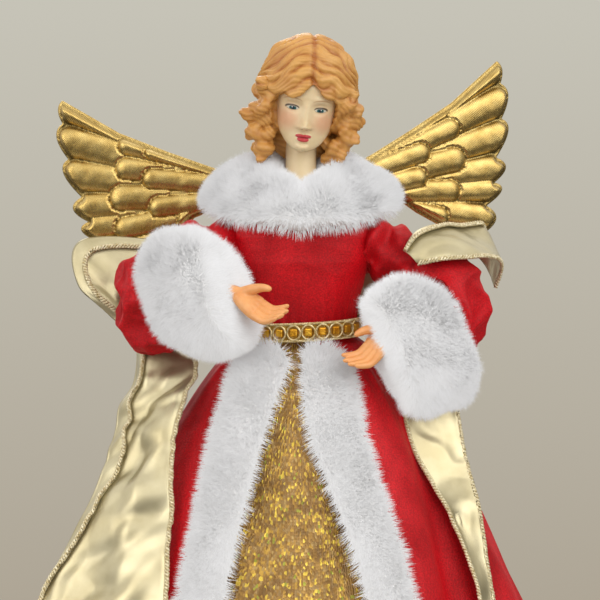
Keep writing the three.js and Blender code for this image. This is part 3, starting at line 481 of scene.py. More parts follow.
# The dashes take their threads' colours; the brightest, pale yellow ones are painted glints of the metal
# thread.
brocade_colours = (
    (0.0, colour(158, 122, 62)), (0.3, colour(178, 140, 70)), (0.5, colour(166, 136, 84)),
    (0.68, colour(208, 168, 74)), (0.82, colour(190, 160, 100)), (0.88, colour(250, 222, 90)),
    (0.97, colour(176, 180, 66)),
)
while len(brocade_ramp.color_ramp.elements) < len(brocade_colours):
    brocade_ramp.color_ramp.elements.new(1)
for element, (start, tint) in zip(brocade_ramp.color_ramp.elements, brocade_colours):
    element.position = start
    element.color = (*tint, 1)
brocade_patch = mottled(
    brocade_tree, place_of(brocade_tree), 130, colour(180, 168, 150), colour(236, 232, 224),
)
brocade_colour = mixed(brocade_tree, brocade_ramp.outputs["Color"], brocade_patch, 1.0, "MULTIPLY")
put(brocade_tree, brocade_shader.inputs["Base Color"], brocade_colour)
brocade_shine = ranged(brocade_tree, brocade_pick.outputs["Green"], 0.25, 0.6)
put(brocade_tree, brocade_shader.inputs["Roughness"], brocade_shine)
relief(brocade_tree, brocade_shader, brocade_dash.outputs["Distance"], 0.0003)
underskirt.data.materials.append(brocade_material)
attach(underskirt, "figure")
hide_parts("brocade_underskirt")


# Coat skirt: red velvet cut flared, open down the front, and sewn to the bodice under the braid.
# The two tables give its front edges' angles, in even steps from the hem to the waist.
left_edge_angles = np.radians([25, 25, 25.5, 26.5, 27.5, 29])
right_edge_angles = np.radians([25, 25, 24.5, 22.5, 16, 15])
coat_gather_depth = 0.7
coat_gather_wander = 80
coat_sway_depth = 2.1
coat_sway_size = 46
coat_hollow = 1.0


def edge_angle(table, height):
    return np.interp(height / waist_height, np.linspace(0, 1, len(table)), table)


coat_share, coat_height = np.meshgrid(np.linspace(0, 1, 300), skirt_heights)
coat_start = edge_angle(right_edge_angles, coat_height)
coat_end = 2 * math.pi - edge_angle(left_edge_angles, coat_height)
coat_angle = coat_start + (coat_end - coat_start) * coat_share
coat_points = skirt_points(coat_angle, coat_height)
coat_drop = bell(coat_height)[0]
coat_gathers = 30 * coat_angle + 2 * wander(coat_points, coat_gather_wander, 21)
coat_gathers = coat_gather_depth * np.sin(coat_gathers)
coat_gathers *= np.exp(-coat_drop * 7) * np.minimum(coat_drop * 25, 1)
coat_sway = coat_sway_depth * wander(coat_points * [1, 1, 0.25], coat_sway_size, 22)
coat_sway = coat_sway * np.minimum(coat_drop * 3, 1)
coat_fade = np.minimum(np.minimum(coat_share, 1 - coat_share) * 14, 1)
coat_points = sideways(coat_points, np.maximum((coat_gathers + coat_sway) * coat_fade, -coat_hollow))
coat = surface_piece("coat_velvet", coat_points)
thicken(coat, velvet_thickness)
coat.data.materials.append(velvet_material)
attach(coat, "figure")
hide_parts("coat_skirt")


# Front furs: a strip of long white fur fabric turned round each front edge of the coat. Its
# backing is a flat tube, and its pile is strands of white fibre that clump at their tips.
fur_skin_thickness = 3.0
fur_top = 243.5
fur_foot = 4
band_half_widths = [8.8, 10.6, 13.6]
band_width_heights = [0, 150, fur_top]
band_lift = 0.9
band_lift_at_foot = 0.6
band_lift_height = 40
band_pile_length = 6.6
band_swirl_size = 20
closest_band_angle = 0.03
pile_glow = np.array([0, -0.5, 0.4])
pile_scatter = 0.22
pile_root_depth = 0.5
pile_wander = 12
strands_per_tuft = 22
tuft_pull = 0.16
tip_scatter = 0.35
strand_radius = 0.22
strand_corners = np.array([0, 2, 4]) * math.pi / 3


# A closed body swept through rings of points. A looped one comes back to its first ring.
def swept_piece(name, rings, looped=False):
    count, around = rings.shape[:2]
    places = np.arange(count * around).reshape(count, around)
    if looped:
        places = np.concatenate([places, places[:1]])
    beside = np.roll(places, -1, 1)
    faces = np.stack([places[:-1], beside[:-1], beside[1:], places[1:]], -1).reshape(-1, 4).tolist()
    if not looped:
        faces += [places[0].tolist(), places[-1].tolist()]
    mesh = bpy.data.meshes.new(name)
    mesh.from_pydata((rings.reshape(-1, 3) * mm).tolist(), [], faces)
    piece = bpy.data.objects.new(name, mesh)
    bpy.context.scene.collection.objects.link(piece)
    face_outward(piece)
    return piece


def face_outward(piece):
    only(piece)
    bpy.ops.object.mode_set(mode="EDIT")
    bpy.ops.mesh.select_all(action="SELECT")
    bpy.ops.mesh.normals_make_consistent(inside=False)
    bpy.ops.object.mode_set(mode="OBJECT")
    bpy.ops.object.shade_smooth()


def read_vectors(collection, name):
    values = np.empty(len(collection) * 3)
    collection.foreach_get(name, values)
    return values.reshape(-1, 3)


# Adds strands of pile to a skin. lean gives each root's own way to lie, and kept says how much
# of the pile grows where, by place and by the way that the skin faces. The light falls on the
# strands as on the skin below them, drawn a little upwards, forwards and away from the doll, as
# white fibre passes light on.
def grow_pile(skin, count, length, seed, lean, kept):
    chance = np.random.default_rng(seed)
    mesh = skin.data
    mesh.calc_loop_triangles()
    places = read_vectors(mesh.vertices, "co") / mm
    normals = read_vectors(mesh.vertices, "normal")
    corners = np.empty(len(mesh.loop_triangles) * 3, dtype=int)
    mesh.loop_triangles.foreach_get("vertices", corners)
    corners = corners.reshape(-1, 3)
    spans = places[corners]
    crossed = np.cross(spans[:, 1] - spans[:, 0], spans[:, 2] - spans[:, 0])
    weights = np.linalg.norm(crossed, axis=1) * kept(spans.mean(1), unit(crossed))
    chosen = chance.choice(len(weights), count, p=weights / weights.sum())
    first, second = chance.random((2, count, 1))
    folded = first + second > 1
    first = np.where(folded, 1 - first, first)
    second = np.where(folded, 1 - second, second)
    shares = np.concatenate([1 - first - second, first, second], 1)[..., None]
    roots = (spans[chosen] * shares).sum(1)
    outward = unit((normals[corners[chosen]] * shares).sum(1))
    reach = length * chance.uniform(0.75, 1.08, (count, 1))
    reach = reach * (1 + 0.1 * wander(roots, pile_wander, seed)[:, None])
    away = unit(outward + lean(roots, outward) + pile_scatter * chance.normal(size=(count, 3)))
    tips = roots + away * reach
    tufts = count // strands_per_tuft
    tree = kdtree.KDTree(tufts)
    for index in range(tufts):
        tree.insert(roots[index], index)
    tree.balance()
    nearest = np.array([tree.find(root)[1] for root in roots])
    tips += tuft_pull * (tips[nearest] - tips) + tip_scatter * chance.normal(size=(count, 3))
    along = unit(tips - roots)
    side = unit(np.cross(along, chance.normal(size=(count, 3))))
    other = np.cross(along, side)
    round_it = side[:, None] * np.cos(strand_corners)[:, None]
    round_it = round_it + other[:, None] * np.sin(strand_corners)[:, None]
    low = (roots - pile_root_depth * outward)[:, None] + strand_radius * round_it
    strands = np.concatenate([low, tips[:, None]], 1)
    start = 4 * np.arange(count)[:, None]
    faces = []
    for pattern in ([0, 1, 3], [1, 2, 3], [2, 0, 3], [2, 1, 0]):
        faces += (start + np.array(pattern)).tolist()
    grown = bpy.data.meshes.new(skin.name.replace("_backing", "_pile"))
    grown.from_pydata((strands.reshape(-1, 3) * mm).tolist(), [], faces)
    grown.polygons.foreach_set("use_smooth", [True] * len(grown.polygons))
    height = grown.attributes.new("pile_height", "FLOAT", "POINT")
    height.data.foreach_set("value", np.tile([0, 0, 0, 1], count).astype(float))
    tone = grown.attributes.new("pile_tone", "FLOAT", "POINT")
    tone.data.foreach_set("value", np.repeat(chance.random(count), 4))
    lit = unit(0.55 * outward + 0.2 * along + 0.55 * unit(roots * [1, 1, 0]) + pile_glow)
    grown.normals_split_custom_set_from_vertices(np.repeat(lit, 4, 0).tolist())
    pile = bpy.data.objects.new(grown.name, grown)
    bpy.context.scene.collection.objects.link(pile)
    pile.visible_shadow = False
    pile.visible_diffuse = False
    pile.visible_glossy = False
    return pile


fur_material, fur_tree, fur_shader = start_material("white_fur", colour(236, 235, 233), 0.75)
fur_height = add_node(fur_tree, "Attribute", {}, attribute_name="pile_height").outputs["Fac"]
fur_tone = add_node(fur_tree, "Attribute", {}, attribute_name="pile_tone").outputs["Fac"]
# The strands are painted darker towards their roots: painted shade deep in the pile.
fur_root_shade = mixed(fur_tree, colour(220, 221, 223), colour(237, 239, 243), fur_height)
fur_colour = mixed(fur_tree, fur_root_shade, ranged(fur_tree, fur_tone, 0.9, 1), 1.0, "MULTIPLY")
for socket_name, value in (
    ("Base Color", fur_colour), ("Sheen Weight", 0.25), ("Specular IOR Level", 0.2),
):
    put(fur_tree, fur_shader.inputs[socket_name], value)


def finish_fur(backing, pile, body, node_name):
    for piece in (backing, pile):
        piece.data.materials.append(fur_material)
        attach(piece, body)
    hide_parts(node_name)


# The skin of a front band: a flat tube that follows the coat's edge.
def band_skin(name, table, side_sign):
    rows = 90
    heights = np.linspace(fur_foot, fur_top, rows)
    middle = side_sign * edge_angle(table, heights)
    step = 0.01
    reach = np.linalg.norm(skirt_points(middle + step, heights) - skirt_points(middle, heights), axis=-1)
    turns = np.linspace(0, 2 * math.pi, 22, endpoint=False)
    half_width = np.interp(heights, band_width_heights, band_half_widths)
    ends = (np.minimum(np.arange(rows), np.arange(rows)[::-1]) / 3).clip(0.1, 1) ** 0.5
    swing = (half_width * ends * step / reach)[:, None] * np.cos(turns)
    angle = middle[:, None] + swing
    angle = np.where(angle * side_sign < closest_band_angle, closest_band_angle * side_sign, angle)
    height = heights[:, None] + 0 * angle
    lift = band_lift + band_lift_at_foot * np.clip((fur_top - height) / band_lift_height, 0, 1)
    lift = lift + np.maximum(np.sin(turns), 0) * fur_skin_thickness * ends[:, None]
    return swept_piece(name, sideways(skirt_points(angle, height, 0.9), lift))


def band_lean(roots, outward):
    swirl = np.stack([
        wander(roots, band_swirl_size, 32), 0 * roots[:, 0], wander(roots, band_swirl_size, 33),
    ], -1)
    return 0.16 * swirl + np.array([0, 0, -0.3])


def band_kept(places, facing):
    away_from_axis = unit(places * [1, 1, 0])
    return np.clip((facing * away_from_axis).sum(1), 0, 1)


for name, node_name, table, side_sign, seed in (
    ("left_front_backing", "left_front_fur", left_edge_angles, -1, 41),
    ("right_front_backing", "right_front_fur", right_edge_angles, 1, 42),
):
    band = band_skin(name, table, side_sign)
    pile = grow_pile(band, 45000, band_pile_length, seed, band_lean, band_kept)
    finish_fur(band, pile, "figure", node_name)


# Fur collar: one wide shawl of the same fur, closed in front, lying on the shoulders.
# Its backing is a flat padded ring between an outer and an inner edge.
collar_half_width = 51
collar_half_depth = 38
collar_back_share = 0.84
collar_inner_radius = 10.5
collar_outer_rises = [53, 63, 70]
collar_inner_rises = [75, 84, 84]
collar_skin_thickness = 7.4
collar_inset = 3.0
collar_front_dip = 6
collar_lump_depth = 1.1
collar_lump_size = 26
collar_swirl_size = 22
collar_pile_length = 6.0
collar_turn = np.linspace(0, 2 * math.pi, 120, endpoint=False)
collar_side = (1 - np.cos(collar_turn)) / 2
collar_depth = collar_half_depth * (1 + (collar_back_share - 1) * collar_side)
collar_outer = np.stack([
    collar_half_width * np.sin(collar_turn), -collar_depth * np.cos(collar_turn),
    waist_height + np.interp(collar_side, [0, 0.5, 1], collar_outer_rises),
], -1)
collar_inner = np.stack([
    collar_inner_radius * np.sin(collar_turn), -collar_inner_radius * np.cos(collar_turn),
    waist_height + np.interp(collar_side, [0, 0.5, 1], collar_inner_rises)
    - collar_front_dip * np.exp(-((np.sin(collar_turn) / 0.22) ** 2)) * (1 - collar_side),
], -1)
collar_middle = (collar_outer + collar_inner) / 2
collar_reach = collar_outer - collar_middle
collar_reach -= unit(collar_reach) * collar_inset
collar_tangent = unit(np.roll(collar_middle, -1, 0) - np.roll(collar_middle, 1, 0))
collar_up = unit(np.cross(collar_tangent, collar_reach))
collar_up *= np.sign(collar_up[:, 2:])
collar_section = np.linspace(0, 2 * math.pi, 36, endpoint=False)
collar_flat = np.sign(np.cos(collar_section)) * np.abs(np.cos(collar_section)) ** 0.85
collar_rise = np.sin(collar_section) * collar_skin_thickness
collar_rings = collar_middle[:, None] + collar_reach[:, None] * collar_flat[:, None]
collar_rings += collar_up[:, None] * collar_rise[:, None]
collar_lumps = wander(collar_rings, collar_lump_size, 51)[..., None]
collar_rings += collar_up[:, None] * collar_lump_depth * collar_lumps
collar = swept_piece("collar_backing", collar_rings, looped=True)


def swirled(roots, size, seeds):
    return 0.18 * np.stack([wander(roots, size, seed) for seed in seeds], -1)


def collar_lean(roots, outward):
    swirl = swirled(roots, collar_swirl_size, (52, 53, 54))
    return swirl + unit(roots * [1, 1, 0]) * 0.3 + np.array([0, 0, -0.15])


def collar_kept(places, facing):
    return np.clip(facing[:, 2] + 0.75, 0.1, 1)


collar_pile = grow_pile(collar, 48000, collar_pile_length, 55, collar_lean, collar_kept)
finish_fur(collar, collar_pile, "figure", "fur_collar")


# Cuffs: fat rings of the same fur on the ends of the sleeves, hollow where the hands come out.
# Each is a padded backing, rounded at both ends, with pile all over it.
chest_place = np.array([chest_half_width, chest_half_depth, bust_height])


# A place round the chest, or some, in shares of its half width, half depth and the bust's height.
def bust_place(*shares):
    return np.array(shares) * chest_place + np.array([0, 0, waist_height])


def side_and_up(axis):
    side = unit(np.cross(axis, np.array([0, 0, 1.0])))
    return side, np.cross(side, axis)


cuff_length = 36
cuff_end_shares = [0.84, 0.97, 1, 0.96, 0.84]
cuff_rounding = 1.2
cuff_inset = 3.4
cuff_lump_depth = 1.8
cuff_lump_size = 26
cuff_swirl_size = 20
cuff_pile_length = 6.2
# How far beyond the straight part each ring of the two ends is, and its share of the width.
cuff_sleeve_end = [(-1.6, 0.2), (-1.2, 0.55), (-0.6, 0.82)]
cuff_hand_end = [(1.2, 0.84), (2.4, 0.56), (3, 0.2)]
left_cuff_centre = bust_place(-1.44, -1.32, 0.3)
left_cuff_axis = unit(np.array([0.84, -0.54, 0.1]))
right_cuff_centre = bust_place(1.67, -1.36, -0.08)
right_cuff_axis = unit(np.array([-0.9, -0.4, -0.19]))


def cuff_skin(name, centre, axis, half_width, half_height, lean):
    side, up = side_and_up(axis)
    turns = np.linspace(0, 2 * math.pi, 48, endpoint=False)
    reach = cuff_length / 2 - cuff_rounding
    stations = [(-reach + beyond, share) for beyond, share in cuff_sleeve_end]
    stations += [(at, 1) for at in np.linspace(-reach, reach, 22)]
    stations += [(reach + beyond, share) for beyond, share in cuff_hand_end]
    rings = []
    for at, open_share in stations:
        share = np.interp(at / reach, np.linspace(-1, 1, 5), cuff_end_shares) * open_share
        across = np.cos(turns) * (half_width - cuff_inset) * share
        high = np.sin(turns) * (half_height - cuff_inset) * share
        middle = centre + axis * (at + lean * high)[:, None]
        rings.append(middle + side * across[:, None] + up * high[:, None])
    rings = np.array(rings)
    straight = rings[3:-3]
    lumps = cuff_lump_depth * unit(straight - centre) * wander(straight, cuff_lump_size, 61)[..., None]
    rings[3:-3] += lumps
    return swept_piece(name, rings)


def cuff_lean(roots, outward):
    return swirled(roots, cuff_swirl_size, (62, 63, 64)) + np.array([0, 0, -0.22])


def cuff_kept(places, facing):
    return np.ones(len(places))


for name, body, centre, axis, half_width, half_height, lean, seed in (
    ("left_cuff", "left_arm", left_cuff_centre, left_cuff_axis, 25, 33, -0.28, 65),
    ("right_cuff", "right_arm", right_cuff_centre, right_cuff_axis, 19, 36, 0.22, 66),
):
    cuff = cuff_skin(name + "_backing", centre, axis, half_width, half_height, lean)
    pile = grow_pile(cuff, 46000, cuff_pile_length, seed, cuff_lean, cuff_kept)
    finish_fur(cuff, pile, body, name)


# Sleeves: velvet tubes stuffed with loose wadding, with a few deep folds at the elbow and the
# armhole. Each is sewn into the armhole.
armhole_place = np.array([31, 0, 289])
armhole_run = np.array([16, -1, -3])
armhole_radius = 12.5
armhole_puff = 2.5
sleeve_voxel = 1.2
weld_distance = 0.01
sleeve_fold_depth = 6.4
sleeve_fold_size = 36
sleeve_pucker_depth = 2.2
sleeve_pucker_size = 24
sleeve_inset = 4.6
drape_centre = np.array([61, 302])
drape_half_width = 15
drape_half_height = 12
drape_depth = 3.4
drape_top = 304
drape_front = 2
drape_fade = 6
shoulder_puff = 5
shoulder_puff_place = np.array([51, 284])
shoulder_puff_reach = 19
shoulder_puff_fade = 10
wrap_edge = np.array([51, 262])
wrap_fade = np.array([6, 8])
sleeve_fullest = 8
sleeve_press = 1


def remesh(piece, voxel, smoothing):
    modifier = piece.modifiers.new("remesh", "REMESH")
    modifier.mode = "VOXEL"
    modifier.voxel_size = voxel * mm
    smooth = piece.modifiers.new("smooth", "SMOOTH")
    smooth.iterations = smoothing
    smooth.factor = 0.5
    apply_modifiers(piece)
    bpy.ops.object.shade_smooth()


def join_pieces(name, pieces):
    bpy.ops.object.select_all(action="DESELECT")
    for piece in pieces:
        piece.select_set(True)
    bpy.context.view_layer.objects.active = pieces[0]
    bpy.ops.object.join()
    joined = bpy.context.object
    joined.name = name
    joined.data.name = name
    return joined


def copy_of_node(node_name, name):
    piece = bpy.data.objects.new(name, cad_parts[node_name].data.copy())
    bpy.context.scene.collection.objects.link(piece)
    piece.data.transform(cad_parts[node_name].matrix_world)
    piece.data.materials.clear()
    only(piece)
    bpy.ops.object.mode_set(mode="EDIT")
    bpy.ops.mesh.select_all(action="SELECT")
    bpy.ops.mesh.remove_doubles(threshold=weld_distance * mm)
    bpy.ops.object.mode_set(mode="OBJECT")
    return piece


def push_out(piece, distances):
    mesh = piece.data
    places = read_vectors(mesh.vertices, "co")
    normals = read_vectors(mesh.vertices, "normal")
    places += normals * (distances * mm)[:, None]
    mesh.vertices.foreach_set("co", places.ravel())
    mesh.update()


def smooth_a_little(piece):
    smooth = piece.modifiers.new("smooth", "SMOOTH")
    smooth.iterations = 7
    apply_modifiers(piece)


for side, body, seed in (("left", "left_arm", 71), ("right", "right_arm", 72)):
    sleeve = copy_of_node(side + "_sleeve", side + "_sleeve_velvet")
    side_sign = -1 if side == "left" else 1
    levels = np.linspace(0, 1, 12)[:, None]
    armhole = (armhole_place + levels * armhole_run) * [side_sign, 1, 1]
    turns = np.linspace(0, 2 * math.pi, 32, endpoint=False)
    circle = np.stack([0 * turns, -np.cos(turns), np.sin(turns)], -1)
    radii = armhole_radius + armhole_puff * np.sin(math.pi * levels[:, 0])
    cap = swept_piece("armhole", armhole[:, None] + radii[:, None, None] * circle)
    sleeve = join_pieces(side + "_sleeve_velvet", [sleeve, cap])
    remesh(sleeve, sleeve_voxel, 14)
    places = read_vectors(sleeve.data.vertices, "co") / mm
    folds = sleeve_fold_depth * creases(places * [0.8, 0.8, 1.3], sleeve_fold_size, seed)
    puckers = sleeve_pucker_depth * creases(places * [1.6, 1.6, 0.8], sleeve_pucker_size, seed + 5)
    # Two hanging folds bend round a place above the elbow.
    aside = (places[:, 0] - side_sign * drape_centre[0]) / drape_half_width
    around = np.hypot(aside, (places[:, 2] - drape_centre[1]) / drape_half_height)
    drape = np.exp(-(((around - 1) / 0.24) ** 2)) + np.exp(-(((around - 1.75) / 0.22) ** 2))
    hangs = np.clip((drape_top - places[:, 2]) / drape_fade, 0, 1)
    hangs = hangs * np.clip((-places[:, 1] - drape_front) / drape_fade, 0, 1)
    from_shoulder = (places[:, 0] - side_sign * shoulder_puff_place[0]) / shoulder_puff_reach
    puffed = shoulder_puff * np.exp(-(from_shoulder ** 2))
    puffed = puffed * np.clip((places[:, 2] - shoulder_puff_place[1]) / shoulder_puff_fade, 0, 1)
    fullness = folds + puckers - sleeve_inset + drape_depth * drape * hangs + puffed
    # Under the stole's wrap, on the viewer's right, the sleeve is pressed flat.
    under_wrap = np.clip((places[:, 0] - wrap_edge[0]) / wrap_fade[0], 0, 1)
    under_wrap = under_wrap * np.clip((places[:, 2] - wrap_edge[1]) / wrap_fade[1], 0, 1)
    fullest = sleeve_fullest * (1 - under_wrap) - sleeve_press
    push_out(sleeve, np.minimum(fullness, fullest))
    smooth_a_little(sleeve)
    sleeve.data.materials.append(velvet_material)
    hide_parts(side + "_sleeve")
    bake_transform(sleeve)


# Waist braid: a woven gimp braid, gold beads each circled by a ring of pale gold cord, between
# two twisted cords.
braid_width = 9.5
braid_stand_off = 2.8
braid_half_width = waist_half_width + braid_stand_off
braid_half_depth = waist_half_depth + braid_stand_off
braid_thickness = 1.0
braid_tilt = 1.6
motif_count = 28
bead_half_size = 1.9
bead_half_height = 2.0
bead_half_depth = 1.0
bead_rounding = 0.7
loop_radius = 3.35
loop_tallness = 1.08
loop_cord_radius = 0.55
loop_stand_off = 0.35
loop_bow = 0.45
edge_share = 0.45
edge_stand_off = 0.2
edge_winding_radius = 0.38
edge_windings = 84
edge_cord_radius = 0.42


def waist_point(angle, height, out):
    return np.stack([
        (braid_half_width + out) * np.sin(angle), -(braid_half_depth + out) * np.cos(angle),
        height + braid_tilt * np.sin(angle),
    ], -1)


braid_angle, braid_height = np.meshgrid(
    np.linspace(0, 2 * math.pi, 192, endpoint=False),
    waist_height + braid_width * np.linspace(-0.46, 0.46, 12),
)
braid = surface_piece("braid_band", waist_point(braid_angle, braid_height, braid_thickness), closed=True)
thicken(braid, braid_thickness)
braid_material, braid_tree, braid_shader = start_material("braid_gold", colour(214, 168, 74), 0.36, 0.85)
braid_thread = add_node(braid_tree, "TexWave", {
    "Vector": place_of(braid_tree, "cloth_map"), "Scale": 0.5, "Distortion": 2.5,
})
braid_tint = mottled(braid_tree, place_of(braid_tree), 300, colour(188, 140, 52), colour(232, 192, 104))
put(braid_tree, braid_shader.inputs["Base Color"], braid_tint)
relief(braid_tree, braid_shader, braid_thread.outputs["Fac"], 0.0003)
braid.data.materials.append(braid_material)

bead_material = drifting_material(
    "bead_gold", colour(222, 160, 40), 0.3, 0.9, 260, colour(206, 138, 28), colour(246, 196, 70),
    1800, 0.0003,
)
cord_material = drifting_material(
    "cord_gold", colour(222, 204, 148), 0.4, 0.75, 700, colour(196, 170, 104), colour(240, 228, 186),
    2200, 0.0002,
)


# The rings of a round cord through points.
def cord_rings(points, radius, sides=6, looped=False):
    steps = np.roll(points, -1, 0) - np.roll(points, 1, 0) if looped else np.gradient(points, axis=0)
    along = unit(steps)
    guess = np.array([0.13, 0.21, 0.97])
    side = unit(np.cross(along, guess))
    other = np.cross(along, side)
    turns = np.linspace(0, 2 * math.pi, sides, endpoint=False)
    rings = side[:, None] * np.cos(turns)[:, None] + other[:, None] * np.sin(turns)[:, None]
    return points[:, None] + rings * radius


beads = []
loops = []
for index in range(motif_count):
    turn = 2 * math.pi * (index + 0.5) / motif_count
    place = waist_point(np.array([turn]), waist_height, braid_thickness)[0]
    outward = unit(np.array([math.sin(turn) / braid_half_width, -math.cos(turn) / braid_half_depth, 0]))
    basis = Matrix((
        (-outward[1], 0, outward[0]), (outward[0], 0, outward[1]), (0, 1, 0),
    ))
    bpy.ops.object.select_all(action="DESELECT")
    bpy.ops.mesh.primitive_cube_add(size=2, scale=(bead_half_size, bead_half_height, bead_half_depth))
    bead = bpy.context.object
    bevel = bead.modifiers.new("rounding", "BEVEL")
    bpy.ops.object.transform_apply(location=False, rotation=False, scale=True)
    bevel.width = bead_rounding
    bevel.segments = 2
    bevel.affect = "EDGES"
    apply_modifiers(bead)
    bead.data.transform(Matrix.Translation(Vector(place * mm)) @ basis.to_4x4() @ Matrix.Scale(mm, 4))
    beads.append(bead)
    loop_turns = np.linspace(0, 2 * math.pi, 28, endpoint=False)
    flat = np.stack([loop_radius * np.cos(loop_turns), loop_radius * np.sin(loop_turns)], -1)
    around = place + flat[:, :1] * np.array([-outward[1], outward[0], 0])
    around += flat[:, 1:] * np.array([0, 0, 1]) * loop_tallness
    around += outward * (loop_stand_off + loop_bow * np.cos(loop_turns))[:, None]
    loops.append(swept_piece("loop", cord_rings(around, loop_cord_radius, 6, True), looped=True))
bead_row = join_pieces("braid_beads", beads)
bead_row.data.materials.append(bead_material)
for edge_sign in (-1, 1):
    for phase in (0, math.pi):
        cord_turns = np.linspace(0, 2 * math.pi, 560, endpoint=False)
        winding = edge_windings * cord_turns + phase
        edge_height = waist_height + edge_sign * edge_share * braid_width
        middle = waist_point(cord_turns, edge_height, braid_thickness + edge_stand_off)
        outward = unit(middle * [1, 1, 0])
        middle += outward * edge_winding_radius * np.cos(winding)[:, None]
        middle[:, 2] += edge_winding_radius * np.sin(winding)
        loops.append(swept_piece("edge_cord", cord_rings(middle, edge_cord_radius, 5, True), looped=True))
loop_row = join_pieces("braid_cords", loops)
loop_row.data.materials.append(cord_material)
for piece in (braid, bead_row, loop_row):
    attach(piece, "figure")
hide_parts("waist_braid")


# Head: the face, skull and neck are one hollow moulding in cream plastic, with painted features.
# It turns on the neck's peg.
head_origin = np.array([0, -0.3, 343.7])
head_turned = np.array(
    Matrix.Rotation(math.radians(4), 3, "Z") @ Matrix.Rotation(math.radians(7), 3, "Y")
    @ Matrix.Rotation(math.radians(9), 3, "X")
)


# A place in the head's own frame, level with the chin and looking straight ahead, put on the doll.
def on_head(points):
    return points @ head_turned.T + head_origin


def in_head(points):
    return (points - head_origin) @ head_turned


skull_rises = [-1.6, -0.6, 1, 3, 6, 10, 14, 18, 22, 26, 31, 36, 41, 46, 49.5, 50.5]
skull_half_widths = [2.5, 5, 7.4, 9.6, 11.8, 13.8, 15.1, 16.1, 16.7, 16.8, 16.4, 15, 12.8, 9, 4.5, 1]
skull_fronts = [
    -15.2, -16.4, -17.2, -17.5, -17.7, -17.9, -18, -18, -18.2, -18.8, -18.6, -16.6, -13, -9, -4, -1,
]
skull_backs = [-9, -7, -5, -2, 3, 8, 12, 15, 17, 18.5, 19.5, 19.5, 18, 13, 7, 2]
neck_foot = 317.6
neck_radius = 8.4
neck_length = 36
neck_slant = 1.5
head_voxel = 0.42
skull_turns = np.linspace(0, 2 * math.pi, 64, endpoint=False)
skull_levels = np.linspace(skull_rises[0], skull_rises[-1], 60)
skull_rings = []
for rise in skull_levels:
    half_width = np.interp(rise, skull_rises, skull_half_widths)
    face_front = np.interp(rise, skull_rises, skull_fronts)
    face_back = np.interp(rise, skull_rises, skull_backs)
    widest = face_front + 0.62 * (face_back - face_front)
    across = np.sin(skull_turns)
    ahead = np.cos(skull_turns)
    fullness = np.abs(ahead) ** 0.86
    depth = np.where(ahead > 0, (face_front - widest) * fullness, (face_back - widest) * fullness)
    ring = np.stack([half_width * across, widest + depth, rise + 0 * across], -1)
    skull_rings.append(on_head(ring))
skull = swept_piece("head_plastic", np.array(skull_rings))
neck_levels = np.linspace(0, 1, 16)
neck_rings = []
for level in neck_levels:
    radius = neck_radius * (1 - 0.07 * math.sin(math.pi * level))
    middle = np.array([0, neck_slant * level, neck_foot + neck_length * level])
    turned = np.stack([np.sin(skull_turns), -np.cos(skull_turns), 0 * skull_turns], -1)
    neck_rings.append(middle + radius * turned)
neck = swept_piece("neck", np.array(neck_rings))
head = join_pieces("head_plastic", [skull, neck])
remesh(head, head_voxel, 10)


# A soft bump on the face, 1 in its middle and 0 outside its oval.
def oval(x, z, at_x, at_z, half_x, half_z):
    reach = ((x - at_x) / half_x) ** 2 + ((z - at_z) / half_z) ** 2
    return np.clip(1 - reach, 0, 1) ** 2


face_middle = -0.65
face_depth = 4
face_fade = 5
nose_bridge = 23.5
nose_length = 11.5
nose_half_width = 1.9
nose_widening = 1.2
nose_least = 0.7
nose_growth = 2.7
nose_foot = 9.9
nose_foot_fade = 1.3
nose_top = 25
nose_top_fade = 3
# The bumps and hollows of the face: each one's depth, its middle across and up, and its half
# sizes. The first table's are on both sides: eye sockets, eyes, brows, cheeks, nostrils, lip.
paired_bumps = (
    (-1.5, 6.45, 21.1, 5.6, 4.2), (1.25, 7.05, 20.7, 3.9, 2.5), (0.5, 7.05, 25.4, 6.5, 2.6),
    (0.7, 8.6, 13.5, 6.5, 6.5), (1.3, 2.3, 11.3, 1.9, 1.7), (1.15, 1.3, 6.95, 3.2, 1.5),
)
middle_bumps = (
    (1.5, 0, 12.2, 2.9, 2.6), (-0.35, 0, 8.8, 1.1, 1.6), (1.5, 0, 4.9, 3.9, 1.8),
    (-0.75, 0, 6.0, 4.6, 0.75), (-0.7, 0, 2.9, 4.2, 1.5), (1.2, 0, 0.6, 4.6, 3.2),
)
head_places = read_vectors(head.data.vertices, "co") / mm
face_places = in_head(head_places)
x = face_places[:, 0] - face_middle
z = face_places[:, 2]
nose_share = np.clip((nose_bridge - z) / nose_length, 0, 1)
nose_width = nose_half_width + nose_widening * nose_share
relief_depth = np.exp(-((x / nose_width) ** 2)) * (nose_least + nose_growth * nose_share ** 1.5)
relief_depth *= np.clip((z - nose_foot) / nose_foot_fade, 0, 1)
relief_depth *= np.clip((nose_top - z) / nose_top_fade, 0, 1)
for across, bumps in ((np.abs(x), paired_bumps), (x, middle_bumps)):
    for depth, *place_and_size in bumps:
        relief_depth += depth * oval(across, z, *place_and_size)
facing_front = np.clip((-face_places[:, 1] - face_depth) / face_fade, 0, 1)
head_places += (relief_depth * facing_front)[:, None] * (head_turned @ np.array([0, -1, 0]))
head.data.vertices.foreach_set("co", (head_places * mm).ravel())
head.data.update()
face_layer = head.data.attributes.new("face_place", "FLOAT_VECTOR", "POINT")
face_layer.data.foreach_set("vector", np.stack([x, z, face_places[:, 1]], -1).ravel())


# Takes plain values and other nodes' outputs alike.
def maths(tree, operation, *values):
    node = add_node(tree, "Math", {}, operation=operation)
    for socket, value in zip(node.inputs, values):
        put(tree, socket, value)
    return node.outputs["Value"]


